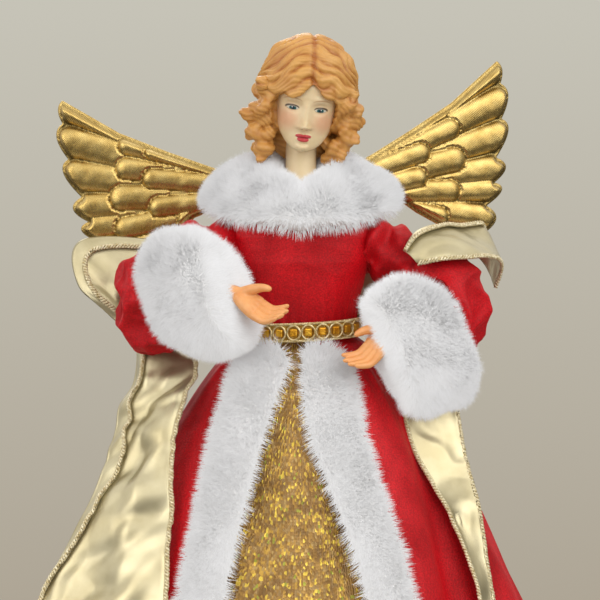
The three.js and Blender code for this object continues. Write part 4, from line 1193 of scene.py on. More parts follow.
face_material, face_tree, face_shader = start_material("face_plastic", colour(228, 206, 164), 0.42)
face_place = add_node(face_tree, "Attribute", {}, attribute_name="face_place").outputs["Vector"]
face_parts = add_node(face_tree, "SeparateXYZ", {"Vector": face_place})
across_face = face_parts.outputs["X"]
up_face = face_parts.outputs["Y"]
mirrored = maths(face_tree, "ABSOLUTE", across_face)


# A painted oval on the face: 1 inside, 0 outside, with an edge as soft as the brush left it.
def painted(across, at_x, at_z, half_x, half_z, softness):
    wide = maths(face_tree, "DIVIDE", maths(face_tree, "SUBTRACT", across, at_x), half_x)
    high = maths(face_tree, "DIVIDE", maths(face_tree, "SUBTRACT", up_face, at_z), half_z)
    squares = [maths(face_tree, "MULTIPLY", value, value) for value in (wide, high)]
    reach = maths(face_tree, "SQRT", maths(face_tree, "ADD", *squares))
    return ranged(face_tree, reach, 0, 1, 1 + softness / 2, 1 - softness / 2, "SMOOTHSTEP")


def without(mask, hole):
    return maths(face_tree, "MULTIPLY", mask, maths(face_tree, "SUBTRACT", 1.0, hole))


def within(mask, other):
    return maths(face_tree, "MULTIPLY", mask, other)


def paint(under, mask, tint, strength):
    return mixed(face_tree, under, tint, maths(face_tree, "MULTIPLY", mask, strength))


# The painted ovals: each one's middle across and up, its half sizes and how soft its edge is.
blush_oval = (9.6, 14.2, 5.2, 4.8, 1.6)
eyelid_oval = (7.2, 22.6, 4.2, 1.5, 1.2)
eye_oval = (7.05, 20.25, 2.8, 0.86, 0.28)
iris_oval = (6.95, 20.2, 1.75, 1.5, 0.3)
pupil_oval = (6.95, 20.3, 0.8, 0.8, 0.4)
glint_oval = (7.3, 20.55, 0.24, 0.24, 0.4)
lash_oval = (7.25, 20.6, 3.5, 1.45, 0.18)
lash_hole_oval = (7, 19.7, 3.4, 1.5, 0.18)
lower_lash_oval = (7.05, 20.25, 2.9, 1.15, 0.14)
lower_lash_hole_oval = (7.05, 20.48, 3, 1.1, 0.14)
brow_oval = (7.35, 24.2, 4.4, 1.5, 0.3)
brow_hole_oval = (7.15, 23.55, 4.7, 1.5, 0.3)
nostril_oval = (1.15, 10.35, 0.6, 0.34, 0.5)
upper_lip_oval = (1.5, 6.85, 2.5, 0.95, 0.2)
lower_lip_oval = (0, 5.25, 3, 1.35, 0.2)
mouth_line_oval = (0, 6.1, 3.5, 0.24, 0.5)

# Each coat of paint, from the first to the last: where it goes, its colour and how strong it is.
eye_shape = painted(mirrored, *eye_oval)
lash = without(painted(mirrored, *lash_oval), painted(mirrored, *lash_hole_oval))
lower_lash = without(painted(mirrored, *lower_lash_oval), painted(mirrored, *lower_lash_hole_oval))
brow = without(painted(mirrored, *brow_oval), painted(mirrored, *brow_hole_oval))
upper_lip = painted(mirrored, *upper_lip_oval)
lips = maths(face_tree, "MAXIMUM", upper_lip, painted(across_face, *lower_lip_oval))
skin_tone = mottled(face_tree, place_of(face_tree), 120, colour(214, 191, 149), colour(224, 204, 165))
for mask, tint, strength in (
    (painted(mirrored, *blush_oval), colour(210, 112, 84), 0.4),
    (painted(mirrored, *eyelid_oval), colour(196, 158, 116), 0.35),
    (eye_shape, colour(200, 198, 186), 1.0),
    (within(painted(mirrored, *iris_oval), eye_shape), colour(22, 84, 84), 1.0),
    (within(painted(mirrored, *pupil_oval), eye_shape), colour(24, 34, 46), 1.0),
    # The glint is a painted highlight on each eye.
    (painted(mirrored, *glint_oval), colour(236, 238, 236), 1.0),
    (lash, colour(52, 38, 34), 0.92),
    (lower_lash, colour(120, 92, 78), 0.5),
    (brow, colour(168, 118, 78), 0.65),
    (painted(mirrored, *nostril_oval), colour(160, 104, 74), 0.6),
    (lips, colour(190, 60, 64), 1.0),
    (painted(across_face, *mouth_line_oval), colour(140, 34, 44), 0.85),
):
    skin_tone = paint(skin_tone, mask, tint, strength)
put(face_tree, face_shader.inputs["Base Color"], skin_tone)
put(face_tree, face_shader.inputs["Subsurface Weight"], 0.12)
put(face_tree, face_shader.inputs["Subsurface Radius"], (0.002, 0.001, 0.0006))
face_shine = ranged(face_tree, noise_height(face_tree, place_of(face_tree), 180), 0.36, 0.5)
put(face_tree, face_shader.inputs["Roughness"], face_shine)
head.data.materials.append(face_material)
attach(head, "head")
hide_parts("head")


# Hair: one hollow moulding in peach plastic, pressed over the skull. Waves run from a middle
# parting to the sides, and ringlets hang at the sides and the back.
cap_middle = np.array([0, 4, 28.5])
cap_half = np.array([25.4, 24.6, 27.2])
nape_middle = np.array([0, 9, 9])
nape_half = np.array([19, 13, 20])
hair_wave_width = 7.4
hair_strand_width = 2.1
hair_wave_depth = 1.25
hair_strand_depth = 0.42
lower_strand_depth = 0.5
parting_half_width = 1.3
parting_depth = 1.2
hair_voxel = 0.6
hair_fine_voxel = 0.55


def ball_body(name, middle, half, sides=40):
    rises = -np.cos(np.linspace(0.06, math.pi - 0.06, sides))
    turns = np.linspace(0, 2 * math.pi, sides, endpoint=False)
    spread = np.sqrt(1 - rises ** 2)
    rings = np.stack([
        spread[:, None] * np.sin(turns), -spread[:, None] * np.cos(turns), rises[:, None] + 0 * turns,
    ], -1)
    return swept_piece(name, on_head(middle + rings * half))


def ringlet(name, top, foot, coil_radius, strand, turns_count, phase):
    steps = np.linspace(0, 1, int(18 * turns_count))
    axis = unit(foot - top)
    side = unit(np.cross(axis, np.array([0.1, 1.0, 0.05])))
    other = np.cross(axis, side)
    taper = 1 - 0.3 * steps ** 3
    winding = phase + 2 * math.pi * turns_count * steps
    places = top + (foot - top) * steps[:, None]
    places = places + side * (coil_radius * taper * np.cos(winding))[:, None]
    places = places + other * (coil_radius * taper * np.sin(winding))[:, None]
    along = unit(np.gradient(places, axis=0))
    ring_side = unit(np.cross(along, axis))
    ring_other = np.cross(along, ring_side)
    ring_turns = np.linspace(0, 2 * math.pi, 10, endpoint=False)
    size = (strand * taper)[:, None, None]
    rings = places[:, None] + size * (
        ring_side[:, None] * np.cos(ring_turns)[:, None] + ring_other[:, None] * np.sin(ring_turns)[:, None]
    )
    return swept_piece(name, on_head(rings))


hair_bodies = [ball_body("cap", cap_middle, cap_half)]
hair_bodies.append(ball_body("nape", nape_middle, nape_half))
ringlet_count = 11
for index in range(ringlet_count):
    turn = math.radians(64 + 232 * index / (ringlet_count - 1))
    top = np.array([22.5 * math.sin(turn), 4 - 19 * math.cos(turn), 25])
    foot = np.array([20 * math.sin(turn), 4 - 17 * math.cos(turn), -8.5 - 2 * math.sin(3 * index)])
    hair_bodies.append(ringlet("ringlet", top, foot, 2.7, 3.4, 3.6, 1.7 * index))
side_curls = (
    ((-22, -4, 16), (-31, -3, 11), 2.4, 3.4), ((-21, -5, 6), (-27.5, -6, 2), 2.2, 3.2),
    ((-17, -7, 0), (-22, -8, -9), 2.2, 3.1), ((21, -4, 24), (27, -5, 18), 2.4, 3.2),
    ((21, -3, 17), (29, -3, 14), 2.4, 3.4), ((19, -6, 8), (27, -7, 5), 2.4, 3.3),
    ((15, -7, 2), (22, -8, -4), 2.2, 3.0), ((-22.5, -10, 31), (-21, -8, 8), 2.4, 3.1),
    ((20, -11, 31), (18.5, -8, 9), 2.4, 3.1), ((-18, -6, 6), (-18.5, -6, -9), 2.2, 3.2),
    ((14, -4, 4), (15, -5, -9), 2.0, 3.1),
)
for index, (start, end, coil_radius, strand) in enumerate(side_curls):
    start = np.array(start, float)
    end = np.array(end, float)
    hair_bodies.append(ringlet("curl", start, end, coil_radius, strand, 1.6, 2.1 * index))
hair = join_pieces("hair_plastic", hair_bodies)
remesh(hair, hair_voxel, 6)

# The window for the face, cut with a scalloped fringe that meets at the parting.
window_outline = [
    (-13.4, -14), (-14.6, -3.3), (-15.8, 3.5), (-18.2, 9.6), (-19.6, 16.9), (-19, 22.5), (-16.6, 26.2),
    (-12.9, 27.6), (-9.8, 25.7), (-7.6, 24.9), (-5.2, 26.2), (-3.1, 29.2), (-0.8, 31.4), (1.4, 32.2),
    (3.4, 30.6), (5.4, 28.2), (8.2, 26.6), (10.6, 26.4), (12.8, 26.9), (15, 24.5), (15.6, 18.9),
    (14.4, 13.2), (12, 6.0), (10, -0.9), (10, -14),
]
window_middle = np.array([-0.9, 12])
window_rings = []
for y, widen in ((-60, 1.12), (-40, 1.12), (-19, 1.03), (-12, 0.96), (-6.5, 0.86)):
    flat = window_middle + (np.array(window_outline) - window_middle) * widen
    window_rings.append(on_head(np.stack([flat[:, 0], np.full(len(flat), y), flat[:, 1]], -1)))
window = swept_piece("window", np.array(window_rings))
hole = hair.modifiers.new("window", "BOOLEAN")
hole.operation = "DIFFERENCE"
hole.object = window
hole.solver = "EXACT"
apply_modifiers(hair)
bpy.data.objects.remove(window)
remesh(hair, hair_fine_voxel, 5)

# The waves run along lines from ear to ear, broken by the parting and swaying as they go.
hair_places = in_head(read_vectors(hair.data.vertices, "co") / mm)
hx, hy, hz = hair_places.T
turn_back = np.arctan2(hz - cap_middle[2], -(hy - cap_middle[1]))
sway = 1.2 * np.sin(0.3 * hx + 0.5) + 2.6 * wander(hair_places, 19, 81)
travel = 26 * turn_back + sway + 0.42 * np.abs(hx)
wave = np.abs(np.sin(math.pi * (travel + 2.2 * wander(hair_places, 12, 86)) / hair_wave_width)) ** 0.8
strand_wave = np.abs(np.sin(math.pi * (travel + 0.5 * wander(hair_places, 9, 82)) / hair_strand_width))
above = np.clip((hz - 22) / 6, 0, 1)
parting_at = 0.6 - 0.05 * (hz - 34)
parting = np.exp(-(((hx - parting_at) / parting_half_width) ** 2)) * np.clip((26 - hy) / 8, 0, 1) * above
wave_size = 1.1 + 0.55 * wander(hair_places, 15, 84)
lumps = np.clip((np.abs(hx) - 8) / 10, 0, 1) * 0.9 * wander(hair_places, 13, 85)
grooves = hair_wave_depth * wave_size * (wave - 0.6) + hair_strand_depth * (strand_wave - 0.6)
grooves = above * (grooves + lumps) - parting_depth * parting
lower_strands = np.abs(np.sin(0.9 * (hz + 0.4 * hx + 2.2 * wander(hair_places, 14, 83))))
grooves += (1 - above) * lower_strand_depth * (lower_strands - 0.6)
push_out(hair, grooves)
groove_layer = hair.data.attributes.new("groove", "FLOAT", "POINT")
groove_layer.data.foreach_set("value", grooves)

hair_material, hair_tree, hair_shader = start_material("hair_plastic", colour(232, 165, 95), 0.46)
hair_groove = add_node(hair_tree, "Attribute", {}, attribute_name="groove").outputs["Fac"]
# The hollows between the waves turn dark brown: painted shade in the grooves of the moulding.
hair_groove_shade = ranged(hair_tree, hair_groove, 0, 1, -1.0, 0.35)
hair_tint = mottled(hair_tree, place_of(hair_tree), 90, colour(192, 136, 64), colour(209, 158, 86))
hair_colour = mixed(hair_tree, colour(164, 98, 36), hair_tint, hair_groove_shade)
put(hair_tree, hair_shader.inputs["Base Color"], hair_colour)
relief(hair_tree, hair_shader, noise_height(hair_tree, place_of(hair_tree), 420), 0.00012)
hair.data.materials.append(hair_material)
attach(hair, "head")
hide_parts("hair")


# Hands: each a slim moulding in peach plastic, a palm with four fingers and a thumb, pushed over
# the end of the arm's wire.
palm_length = 13
finger_radius = 1.75
wrist_radius = 4.0
hand_voxel = 0.42
palm_middle = 6
knuckle_inset = 1
finger_inset = 3
finger_root_radius = 2.4
finger_sag = 1.2
finger_level = 0.4
finger_tip_rise = 2.6
palm_radii = [3.4, 3.2, 2.5]
thumb_radii = [3.0, 2.7, 2.05, 1.4]
# Places along the wrist and the thumb: ahead of the wrist, above it and across the palm.
wrist_places = [(-9, 0, 0), (-1, 0, 0), (5, -1.5, 0)]
thumb_places = [(1, 1.2, 0.6), (6.5, 4.2, 1.2), (12, 6.2, 1.2), (17, 6.6, 0.8)]
finger_depths = [-3.4, -1.1, 1.3, 3.4]
finger_drops = [-7.6, -5.8, -3.8, -1.8]
finger_reaches = [12.5, 14.5, 15, 13.5]
left_wrist = bust_place(-0.83, -1.88, 0.31)
right_wrist = bust_place(1.19, -1.64, 0.04)
left_forward = unit(np.array([0.83, -0.52, -0.19]))
left_thumb_up = unit(np.array([0.16, -0.1, 0.98]))
right_forward = unit(np.array([-0.8, -0.38, -0.46]))
right_thumb_up = unit(np.array([-0.42, -0.2, 0.88]))


# A smooth curve through a few places, by the parabolas through each three of them.
def smooth_curve(places, steps):
    places = np.array(places, float)
    padded = np.concatenate([2 * places[:1] - places[1:2], places, 2 * places[-1:] - places[-2:-1]])
    spans = len(places) - 1
    at = np.linspace(0, spans, steps)
    index = np.minimum(at.astype(int), spans - 1)
    share = (at - index)[:, None]
    a, b, c, d = (padded[index + offset] for offset in range(4))
    return 0.5 * (
        2 * b + (c - a) * share + (2 * a - 5 * b + 4 * c - d) * share ** 2
        + (3 * b - a - 3 * c + d) * share ** 3
    )


def digit_body(places, radii):
    middles = smooth_curve(places, 16)
    along = np.linspace(0, 1, 16)
    sizes = np.interp(along, np.linspace(0, 1, len(radii)), radii)
    sizes = sizes * np.sqrt(1 - np.clip((along - 0.86) / 0.15, 0, 0.97) ** 2)
    around = cord_rings(middles, 1, 12) - middles[:, None]
    return swept_piece("digit", middles[:, None] + around * sizes[:, None, None])


hand_material, hand_tree, hand_shader = start_material("hand_plastic", colour(226, 160, 98), 0.42)
hand_tint = mottled(hand_tree, place_of(hand_tree), 160, colour(218, 148, 86), colour(230, 168, 108))
put(hand_tree, hand_shader.inputs["Base Color"], hand_tint)
put(hand_tree, hand_shader.inputs["Subsurface Weight"], 0.12)
put(hand_tree, hand_shader.inputs["Subsurface Radius"], (0.002, 0.001, 0.0005))
relief(hand_tree, hand_shader, noise_height(hand_tree, place_of(hand_tree), 700), 0.00006)

for name, body, wrist, forward, up, side_sign in (
    ("left_hand", "left_arm", left_wrist, left_forward, left_thumb_up, -1),
    ("right_hand", "right_arm", right_wrist, right_forward, right_thumb_up, 1),
):
    inward = np.cross(forward, up) * side_sign

    def at(ahead, high, across):
        return wrist + forward * ahead + up * high + inward * across

    wrist_radii = [wrist_radius, wrist_radius * 0.9, wrist_radius * 0.8]
    parts = [digit_body([at(*place) for place in wrist_places], wrist_radii)]
    for depth, low, reach in zip(finger_depths, finger_drops, finger_reaches):
        knuckle = at(palm_length - knuckle_inset, low, depth)
        parts.append(digit_body([
            at(0, low * 0.1, depth * 0.5), at(palm_middle, low * 0.55, depth * 0.85), knuckle,
        ], palm_radii))
        parts.append(digit_body([
            at(palm_length - finger_inset, low * 0.9, depth),
            at(palm_length + reach * 0.34, low - finger_sag, depth * 1.05),
            at(palm_length + reach * 0.72, low + finger_level, depth * 1.1),
            at(palm_length + reach, low + finger_tip_rise, depth * 1.1),
        ], [finger_root_radius, finger_radius, finger_radius * 0.86, finger_radius * 0.64]))
    parts.append(digit_body([at(*place) for place in thumb_places], thumb_radii))
    hand = join_pieces(name + "_plastic", parts)
    remesh(hand, hand_voxel, 5)
    hand.data.materials.append(hand_material)
    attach(hand, body)
    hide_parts(name)


# Wings: two layers of gold cloth with thin wadding between, pressed in relief into three rows of
# feathers and stitched flat along the rim. Each turns about a pin of the bracket.
wing_length = 116
wing_pin_place = np.array([10, 36, 296])
wing_set_back = 10.5
wing_rise = 17
rim_width = 1.7
rim_half_thickness = 0.7
rim_rise_width = 2.2
seam_half_width = 0.5
piping_height = 0.55
piping_place = 0.85
piping_half_width = 0.5
rim_round_width = 0.9
wing_outline_step = 0.8
wing_grid_step = 0.85
wing_grid_margin = 0.45
wing_crumple_depth = 0.1
wing_crumple_size = 9
wing_cup = 0.0006
wing_cup_middle = 40
wing_cup_stand_off = 1.5
feather_bow = 0.0012
feather_puff = 4.6
feather_row_rise = 0.45
wing_top_shares = [(0.13, 0.03), (0.15, 0.1), (0.34, 0.155), (0.545, 0.226), (0.77, 0.312), (1.035, 0.463)]
feather_tip_shares = [
    (1.07, 0.415), (1.09, 0.29), (1.065, 0.126), (1.025, -0.05), (0.985, -0.15), (0.93, -0.28),
]
feather_notch_shares = [
    (1.035, 0.355), (1.01, 0.19), (0.95, 0.015), (0.92, -0.1), (0.86, -0.2), (0.84, -0.32),
]
wing_bottom_shares = [(0.7, -0.3), (0.6, -0.24), (0.5, -0.16), (0.42, -0.08)]
feather_bulge_share = 0.2

# Each feather: its tip, its root and its half width, in shares of the wing's length. The outer
# row is overlapped by the middle row, and that by the inner row.
left_feather_shares = (
    (
        ((1.05, 0.43), (0.56, 0.2), 0.052), ((1.07, 0.285), (0.5, 0.12), 0.075),
        ((1.045, 0.12), (0.48, 0.04), 0.075), ((0.985, -0.04), (0.46, -0.02), 0.07),
        ((0.945, -0.135), (0.46, -0.08), 0.06), ((0.89, -0.265), (0.44, -0.12), 0.062),
    ),
    (
        ((0.775, 0.265), (0.3, 0.12), 0.05), ((0.79, 0.155), (0.3, 0.07), 0.06),
        ((0.82, 0.01), (0.32, 0.0), 0.068), ((0.795, -0.14), (0.36, -0.06), 0.06),
    ),
    (
        ((0.65, 0.23), (0.16, 0.09), 0.042), ((0.665, 0.105), (0.14, 0.04), 0.056),
        ((0.635, -0.035), (0.14, 0.0), 0.056), ((0.5, -0.1), (0.16, -0.02), 0.045),
    ),
)
right_feather_shares = (
    (
        ((1.05, 0.43), (0.56, 0.21), 0.052), ((1.07, 0.285), (0.5, 0.13), 0.072),
        ((1.045, 0.12), (0.48, 0.05), 0.072), ((0.985, -0.04), (0.46, -0.02), 0.068),
        ((0.945, -0.14), (0.46, -0.08), 0.056), ((0.89, -0.27), (0.44, -0.12), 0.062),
    ),
    (
        ((0.74, 0.305), (0.3, 0.13), 0.05), ((0.785, 0.205), (0.3, 0.08), 0.056),
        ((0.79, 0.05), (0.32, 0.02), 0.068), ((0.735, -0.1), (0.36, -0.04), 0.06),
        ((0.65, -0.215), (0.3, -0.08), 0.05),
    ),
    (
        ((0.61, 0.255), (0.16, 0.09), 0.045), ((0.615, 0.12), (0.14, 0.04), 0.056),
        ((0.58, 0.0), (0.14, 0.0), 0.056), ((0.46, -0.11), (0.16, -0.03), 0.045),
    ),
)


def wing_outline():
    outline = [np.array(share) for share in wing_top_shares]
    for tip, notch in zip(feather_tip_shares, feather_notch_shares):
        start = outline[-1]
        tip = np.array(tip)
        notch = np.array(notch)
        control = tip + feather_bulge_share * (tip - notch)
        for step in np.linspace(0, 1, 15)[1:]:
            outline.append((1 - step) ** 2 * start + 2 * step * (1 - step) * control + step ** 2 * notch)
    outline += [np.array(share) for share in wing_bottom_shares]
    outline = np.array(outline) * wing_length
    closed = np.concatenate([outline, outline[:1]])
    lengths = np.concatenate([[0], np.cumsum(np.linalg.norm(np.diff(closed, axis=0), axis=1))])
    count = int(lengths[-1] / wing_outline_step)
    at = np.linspace(0, lengths[-1], count, endpoint=False)
    return np.stack([np.interp(at, lengths, closed[:, axis]) for axis in (0, 1)], -1)


def distance_to_line(points, line):
    start = line
    end = np.roll(line, -1, 0)
    span = end - start
    best = np.full(len(points), 1e9)
    for first, step in zip(start, span):
        share = np.clip(((points - first) @ step) / (step @ step), 0, 1)
        best = np.minimum(best, np.linalg.norm(points - first - share[:, None] * step, axis=1))
    return best


def inside_outline(points, outline):
    x, y = points.T
    crossed = np.zeros(len(points), dtype=bool)
    for (x0, y0), (x1, y1) in zip(outline, np.roll(outline, -1, 0)):
        straddles = (y0 > y) != (y1 > y)
        with np.errstate(divide="ignore", invalid="ignore"):
            meets = (x1 - x0) * (y - y0) / (y1 - y0) + x0
        crossed ^= straddles & (x < meets)
    return crossed


# How high the relief stands at each place: every feather is a long pillow with a round tip, and
# each row lies on the one outside it, with a groove round its tips.
def feather_relief(points, rows):
    height = np.zeros(len(points))
    for row, feathers in enumerate(rows):
        row_height = np.zeros(len(points))
        covered = np.zeros(len(points), dtype=bool)
        for tip, root, half_width in feathers:
            tip = np.array(tip) * wing_length
            root = np.array(root) * wing_length
            width = half_width * wing_length
            axis = root - tip
            reach = np.linalg.norm(axis)
            axis = axis / reach
            along = (points - tip) @ axis
            aside = (points - tip) @ np.array([-axis[1], axis[0]])
            aside = aside + feather_bow * along * (reach - along)
            taper = width * (1 - 0.25 * np.clip(along / reach, 0, 1))
            from_tip = np.clip(width - along, 0, None) / width
            edge = np.sqrt((aside / taper) ** 2 + from_tip ** 2)
            pillow = np.clip(1 - edge ** 2.6, 0, 1) ** 0.6
            fade = 1 - 0.55 * np.clip(along / reach, 0, 1)
            inside = (edge < 1) & (along < reach)
            row_height = np.maximum(row_height, np.where(inside, feather_puff * pillow * fade, 0))
            covered |= inside
        height = np.where(covered, feather_row_rise * row + row_height, height)
    return height


def wing_body(name, side_sign, raise_angle, sweep, rows):
    outline = wing_outline()
    low = outline.min(0)
    high = outline.max(0)
    grid_x = np.arange(low[0], high[0], wing_grid_step)
    grid_y = np.arange(low[1], high[1], wing_grid_step * 0.87)
    field = np.array([
        (x + (0.5 * wing_grid_step if row % 2 else 0), y) for row, y in enumerate(grid_y) for x in grid_x
    ])
    field = field[inside_outline(field, outline)]
    field = field[distance_to_line(field, outline) > wing_grid_margin]
    flat = np.concatenate([outline, field])
    border = list(range(len(outline)))
    result = delaunay_2d_cdt([Vector(p) for p in flat], [], [border], 1, 1e-5)
    flat = np.array([tuple(p) for p in result[0]])
    triangles = np.array(result[2])
    edge_distance = distance_to_line(flat, outline)
    inner = np.clip((edge_distance - rim_width) / rim_rise_width, 0, 1) ** 0.6
    seam = np.exp(-(((edge_distance - rim_width) / seam_half_width) ** 2))
    relief_height = feather_relief(flat, rows) * inner
    crumple = wander(np.concatenate([flat, 0 * flat[:, :1]], 1), wing_crumple_size, 91)
    relief_height += wing_crumple_depth * crumple * inner
    edge_round = np.sqrt(np.clip(edge_distance / rim_round_width, 0, 1))
    piping = piping_height * np.exp(-(((edge_distance - piping_place) / piping_half_width) ** 2))
    flat_half = rim_half_thickness * edge_round * (1 - 0.35 * seam) + piping
    front = flat_half + relief_height
    back = flat_half + 0.35 * relief_height
    turn = math.radians(raise_angle)
    spun = np.stack([
        flat[:, 0] * math.cos(turn) - flat[:, 1] * math.sin(turn),
        flat[:, 0] * math.sin(turn) + flat[:, 1] * math.cos(turn),
    ], -1)
    cup = -wing_cup * (spun[:, 0] - wing_cup_middle) ** 2 * 0.6
    sheets = []
    for offset in (-front, back):
        depth = wing_set_back + offset + cup + wing_cup_stand_off
        sheets.append(np.stack([side_sign * spun[:, 0], depth, spun[:, 1] + wing_rise], -1))
    places = np.concatenate(sheets)
    angle = math.radians(side_sign * sweep)
    spin = np.array([
        [math.cos(angle), -math.sin(angle), 0], [math.sin(angle), math.cos(angle), 0], [0, 0, 1],
    ])
    places = places @ spin.T + wing_pin_place * [side_sign, 1, 1]
    count = len(flat)
    edges_used = {}
    for triangle in triangles:
        for first, second in ((0, 1), (1, 2), (2, 0)):
            edges_used[(triangle[first], triangle[second])] = True
    faces = triangles.tolist() + (triangles[:, ::-1] + count).tolist()
    for first, second in edges_used:
        if (second, first) not in edges_used:
            faces.append([second, first, first + count, second + count])
    mesh = bpy.data.meshes.new(name)
    mesh.from_pydata((places * mm).tolist(), [], faces)
    layer = mesh.uv_layers.new(name="cloth_map")
    corner_points = np.empty(len(mesh.loops), dtype=int)
    mesh.loops.foreach_get("vertex_index", corner_points)
    layer.data.foreach_set("uv", np.concatenate([flat, flat])[corner_points].ravel())
    hollow = mesh.attributes.new("relief", "FLOAT", "POINT")
    hollow.data.foreach_set("value", np.concatenate([relief_height, relief_height]))
    rim = mesh.attributes.new("rim", "FLOAT", "POINT")
    rim_value = np.clip(1 - edge_distance / (rim_width * 1.2), 0, 1)
    rim.data.foreach_set("value", np.concatenate([rim_value, rim_value]))
    piece = bpy.data.objects.new(name, mesh)
    bpy.context.scene.collection.objects.link(piece)
    face_outward(piece)
    return piece


# The weave group: a fine diagonal weave, as a height that follows a cloth's map in millimetres,
# and a glint that differs from spot to spot.
weave_group = bpy.data.node_groups.new("weave", "ShaderNodeTree")
weave_group.interface.new_socket(name="Vector", in_out="INPUT", socket_type="NodeSocketVector")
weave_group.interface.new_socket(name="Pitch", in_out="INPUT", socket_type="NodeSocketFloat")
weave_group.interface.new_socket(name="Height", in_out="OUTPUT", socket_type="NodeSocketFloat")
weave_group.interface.new_socket(name="Glint", in_out="OUTPUT", socket_type="NodeSocketFloat")
weave_in = weave_group.nodes.new("NodeGroupInput")
weave_out = weave_group.nodes.new("NodeGroupOutput")
weave_parts = add_node(weave_group, "SeparateXYZ", {"Vector": weave_in.outputs["Vector"]})


def thread_rows(first, second, share):
    turned = maths(weave_group, "MULTIPLY", second, share)
    total = maths(weave_group, "ADD", first, turned)
    phase = maths(weave_group, "DIVIDE", total, weave_in.outputs["Pitch"])
    return maths(weave_group, "SINE", maths(weave_group, "MULTIPLY", phase, 2 * math.pi))


weave_first = thread_rows(weave_parts.outputs["X"], weave_parts.outputs["Y"], 1.0)
weave_second = thread_rows(weave_parts.outputs["X"], weave_parts.outputs["Y"], -1.3)
weave_height = maths(weave_group, "ADD", weave_first, maths(weave_group, "MULTIPLY", weave_second, 0.8))
weave_group.links.new(weave_height, weave_out.inputs["Height"])
weave_cells = add_node(weave_group, "TexVoronoi", {
    "Vector": weave_in.outputs["Vector"], "Scale": 1.5,
}, voronoi_dimensions="2D")
weave_glint = add_node(weave_group, "SeparateColor", {"Color": weave_cells.outputs["Color"]})
weave_group.links.new(weave_glint.outputs["Red"], weave_out.inputs["Glint"])


def woven(tree, place, pitch):
    node = add_node(tree, "Group", {}, node_tree=weave_group)
    put(tree, node.inputs["Vector"], place)
    put(tree, node.inputs["Pitch"], pitch)
    return node.outputs["Height"], node.outputs["Glint"]


# Painted shade darkens the relief's hollows, while the stitched rim is kept light as a painted
# highlight. The weave's threads are painted lighter and darker, as painted shading of the threads.
wing_material, wing_tree, wing_shader = start_material("gold_wing", colour(212, 186, 118), 0.3, 0.85)
wing_weave, wing_glint = woven(wing_tree, place_of(wing_tree, "cloth_map"), 1.15)
put(wing_tree, wing_shader.inputs["Roughness"], ranged(wing_tree, wing_glint, 0.2, 0.34))
wing_tint = mottled(wing_tree, place_of(wing_tree), 150, colour(190, 158, 88), colour(212, 184, 114))
wing_hollow = add_node(wing_tree, "Attribute", {}, attribute_name="relief").outputs["Fac"]
wing_rim = add_node(wing_tree, "Attribute", {}, attribute_name="rim").outputs["Fac"]
wing_shade = ranged(wing_tree, wing_hollow, 0.38, 1, 0, 2.4)
wing_light = maths(wing_tree, "ADD", wing_shade, maths(wing_tree, "MULTIPLY", wing_rim, 0.75))
wing_light = maths(wing_tree, "MINIMUM", wing_light, 1.0)
wing_thread_shade = maths(wing_tree, "MULTIPLY_ADD", wing_weave, 0.14, 0.9)
wing_light = maths(wing_tree, "MULTIPLY", wing_light, wing_thread_shade)
wing_colour = mixed(wing_tree, wing_tint, wing_light, 1.0, "MULTIPLY")
put(wing_tree, wing_shader.inputs["Base Color"], wing_colour)
relief(wing_tree, wing_shader, wing_weave, 0.000025, 0.7)

for name, side_sign, raise_angle, sweep, rows in (
    ("left_wing", -1, 0, 6, left_feather_shares), ("right_wing", 1, 11, 20, right_feather_shares),
):
    wing = wing_body(name + "_cloth", side_sign, raise_angle, sweep, rows)
    wing.data.materials.append(wing_material)
    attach(wing, name)
    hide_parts(name)


# Stole: one long strip of champagne cloth with a braided edging, hung behind the back, over the
# crooks of the arms and down both sides of the coat.
stole_thickness = 0.9
stole_gap = 1.4
stole_smallest_drop = 1e-6
flap_columns = 12
flap_thickness = 2.2
flap_least_width = 1
ripple_depth = 1.1
free_rise = 20
free_fade = 30
facet_size = 21
small_facet_size = 9
edging_step = 0.5
edging_pitch = 3.2
edging_half_width = 0.95
edging_stand_off = 0.6
edging_bow = 0.45
edging_cord_radius = 0.65


def skirt_places(shares):
    shares = np.array(shares, float)
    high = np.minimum(shares[:, 2], 1) * waist_height + np.maximum(shares[:, 2] - 1, 0) * bust_height
    return np.stack([shares[:, 0] * hem_half_width, shares[:, 1] * hem_half_depth, high], -1)


left_outer_shares = [
    (0.35, 0.2, 1.49), (0, 0.2, 1.45), (-0.31, 0.23, 1.6), (-0.71, 0.21, 1.62),
    (-0.7, 0.13, 1.28), (-0.58, 0.1, 1), (-0.5, 0.03, 0.94), (-0.55, -0.06, 0.82),
    (-0.6, -0.19, 0.72), (-0.68, -0.27, 0.6), (-0.77, -0.32, 0.48), (-0.88, -0.4, 0.26),
]
left_inner_shares = [
    (0.35, 0.2, 1.07), (0, 0.21, 1.04), (-0.3, 0.21, 1.11), (-0.5, 0.16, 1.07),
    (-0.47, 0.13, 0.97), (-0.4, 0.07, 0.94), (-0.32, -0.09, 0.93), (-0.34, -0.19, 0.85),
    (-0.37, -0.29, 0.77), (-0.38, -0.43, 0.64), (-0.39, -0.57, 0.49), (-0.43, -0.81, 0.26),
]
right_outer_shares = [
    (0.52, 0.09, 1.07), (0.49, 0.04, 0.93), (0.48, -0.09, 0.85), (0.49, -0.14, 0.79),
    (0.51, -0.19, 0.72), (0.54, -0.23, 0.65), (0.58, -0.33, 0.48), (0.66, -0.43, 0.27),
]
right_inner_shares = [
    (0.37, 0.11, 1.07), (0.35, 0.03, 0.93), (0.31, -0.12, 0.85), (0.34, -0.2, 0.77),
    (0.4, -0.27, 0.7), (0.46, -0.3, 0.64), (0.54, -0.4, 0.48), (0.58, -0.56, 0.27),
]
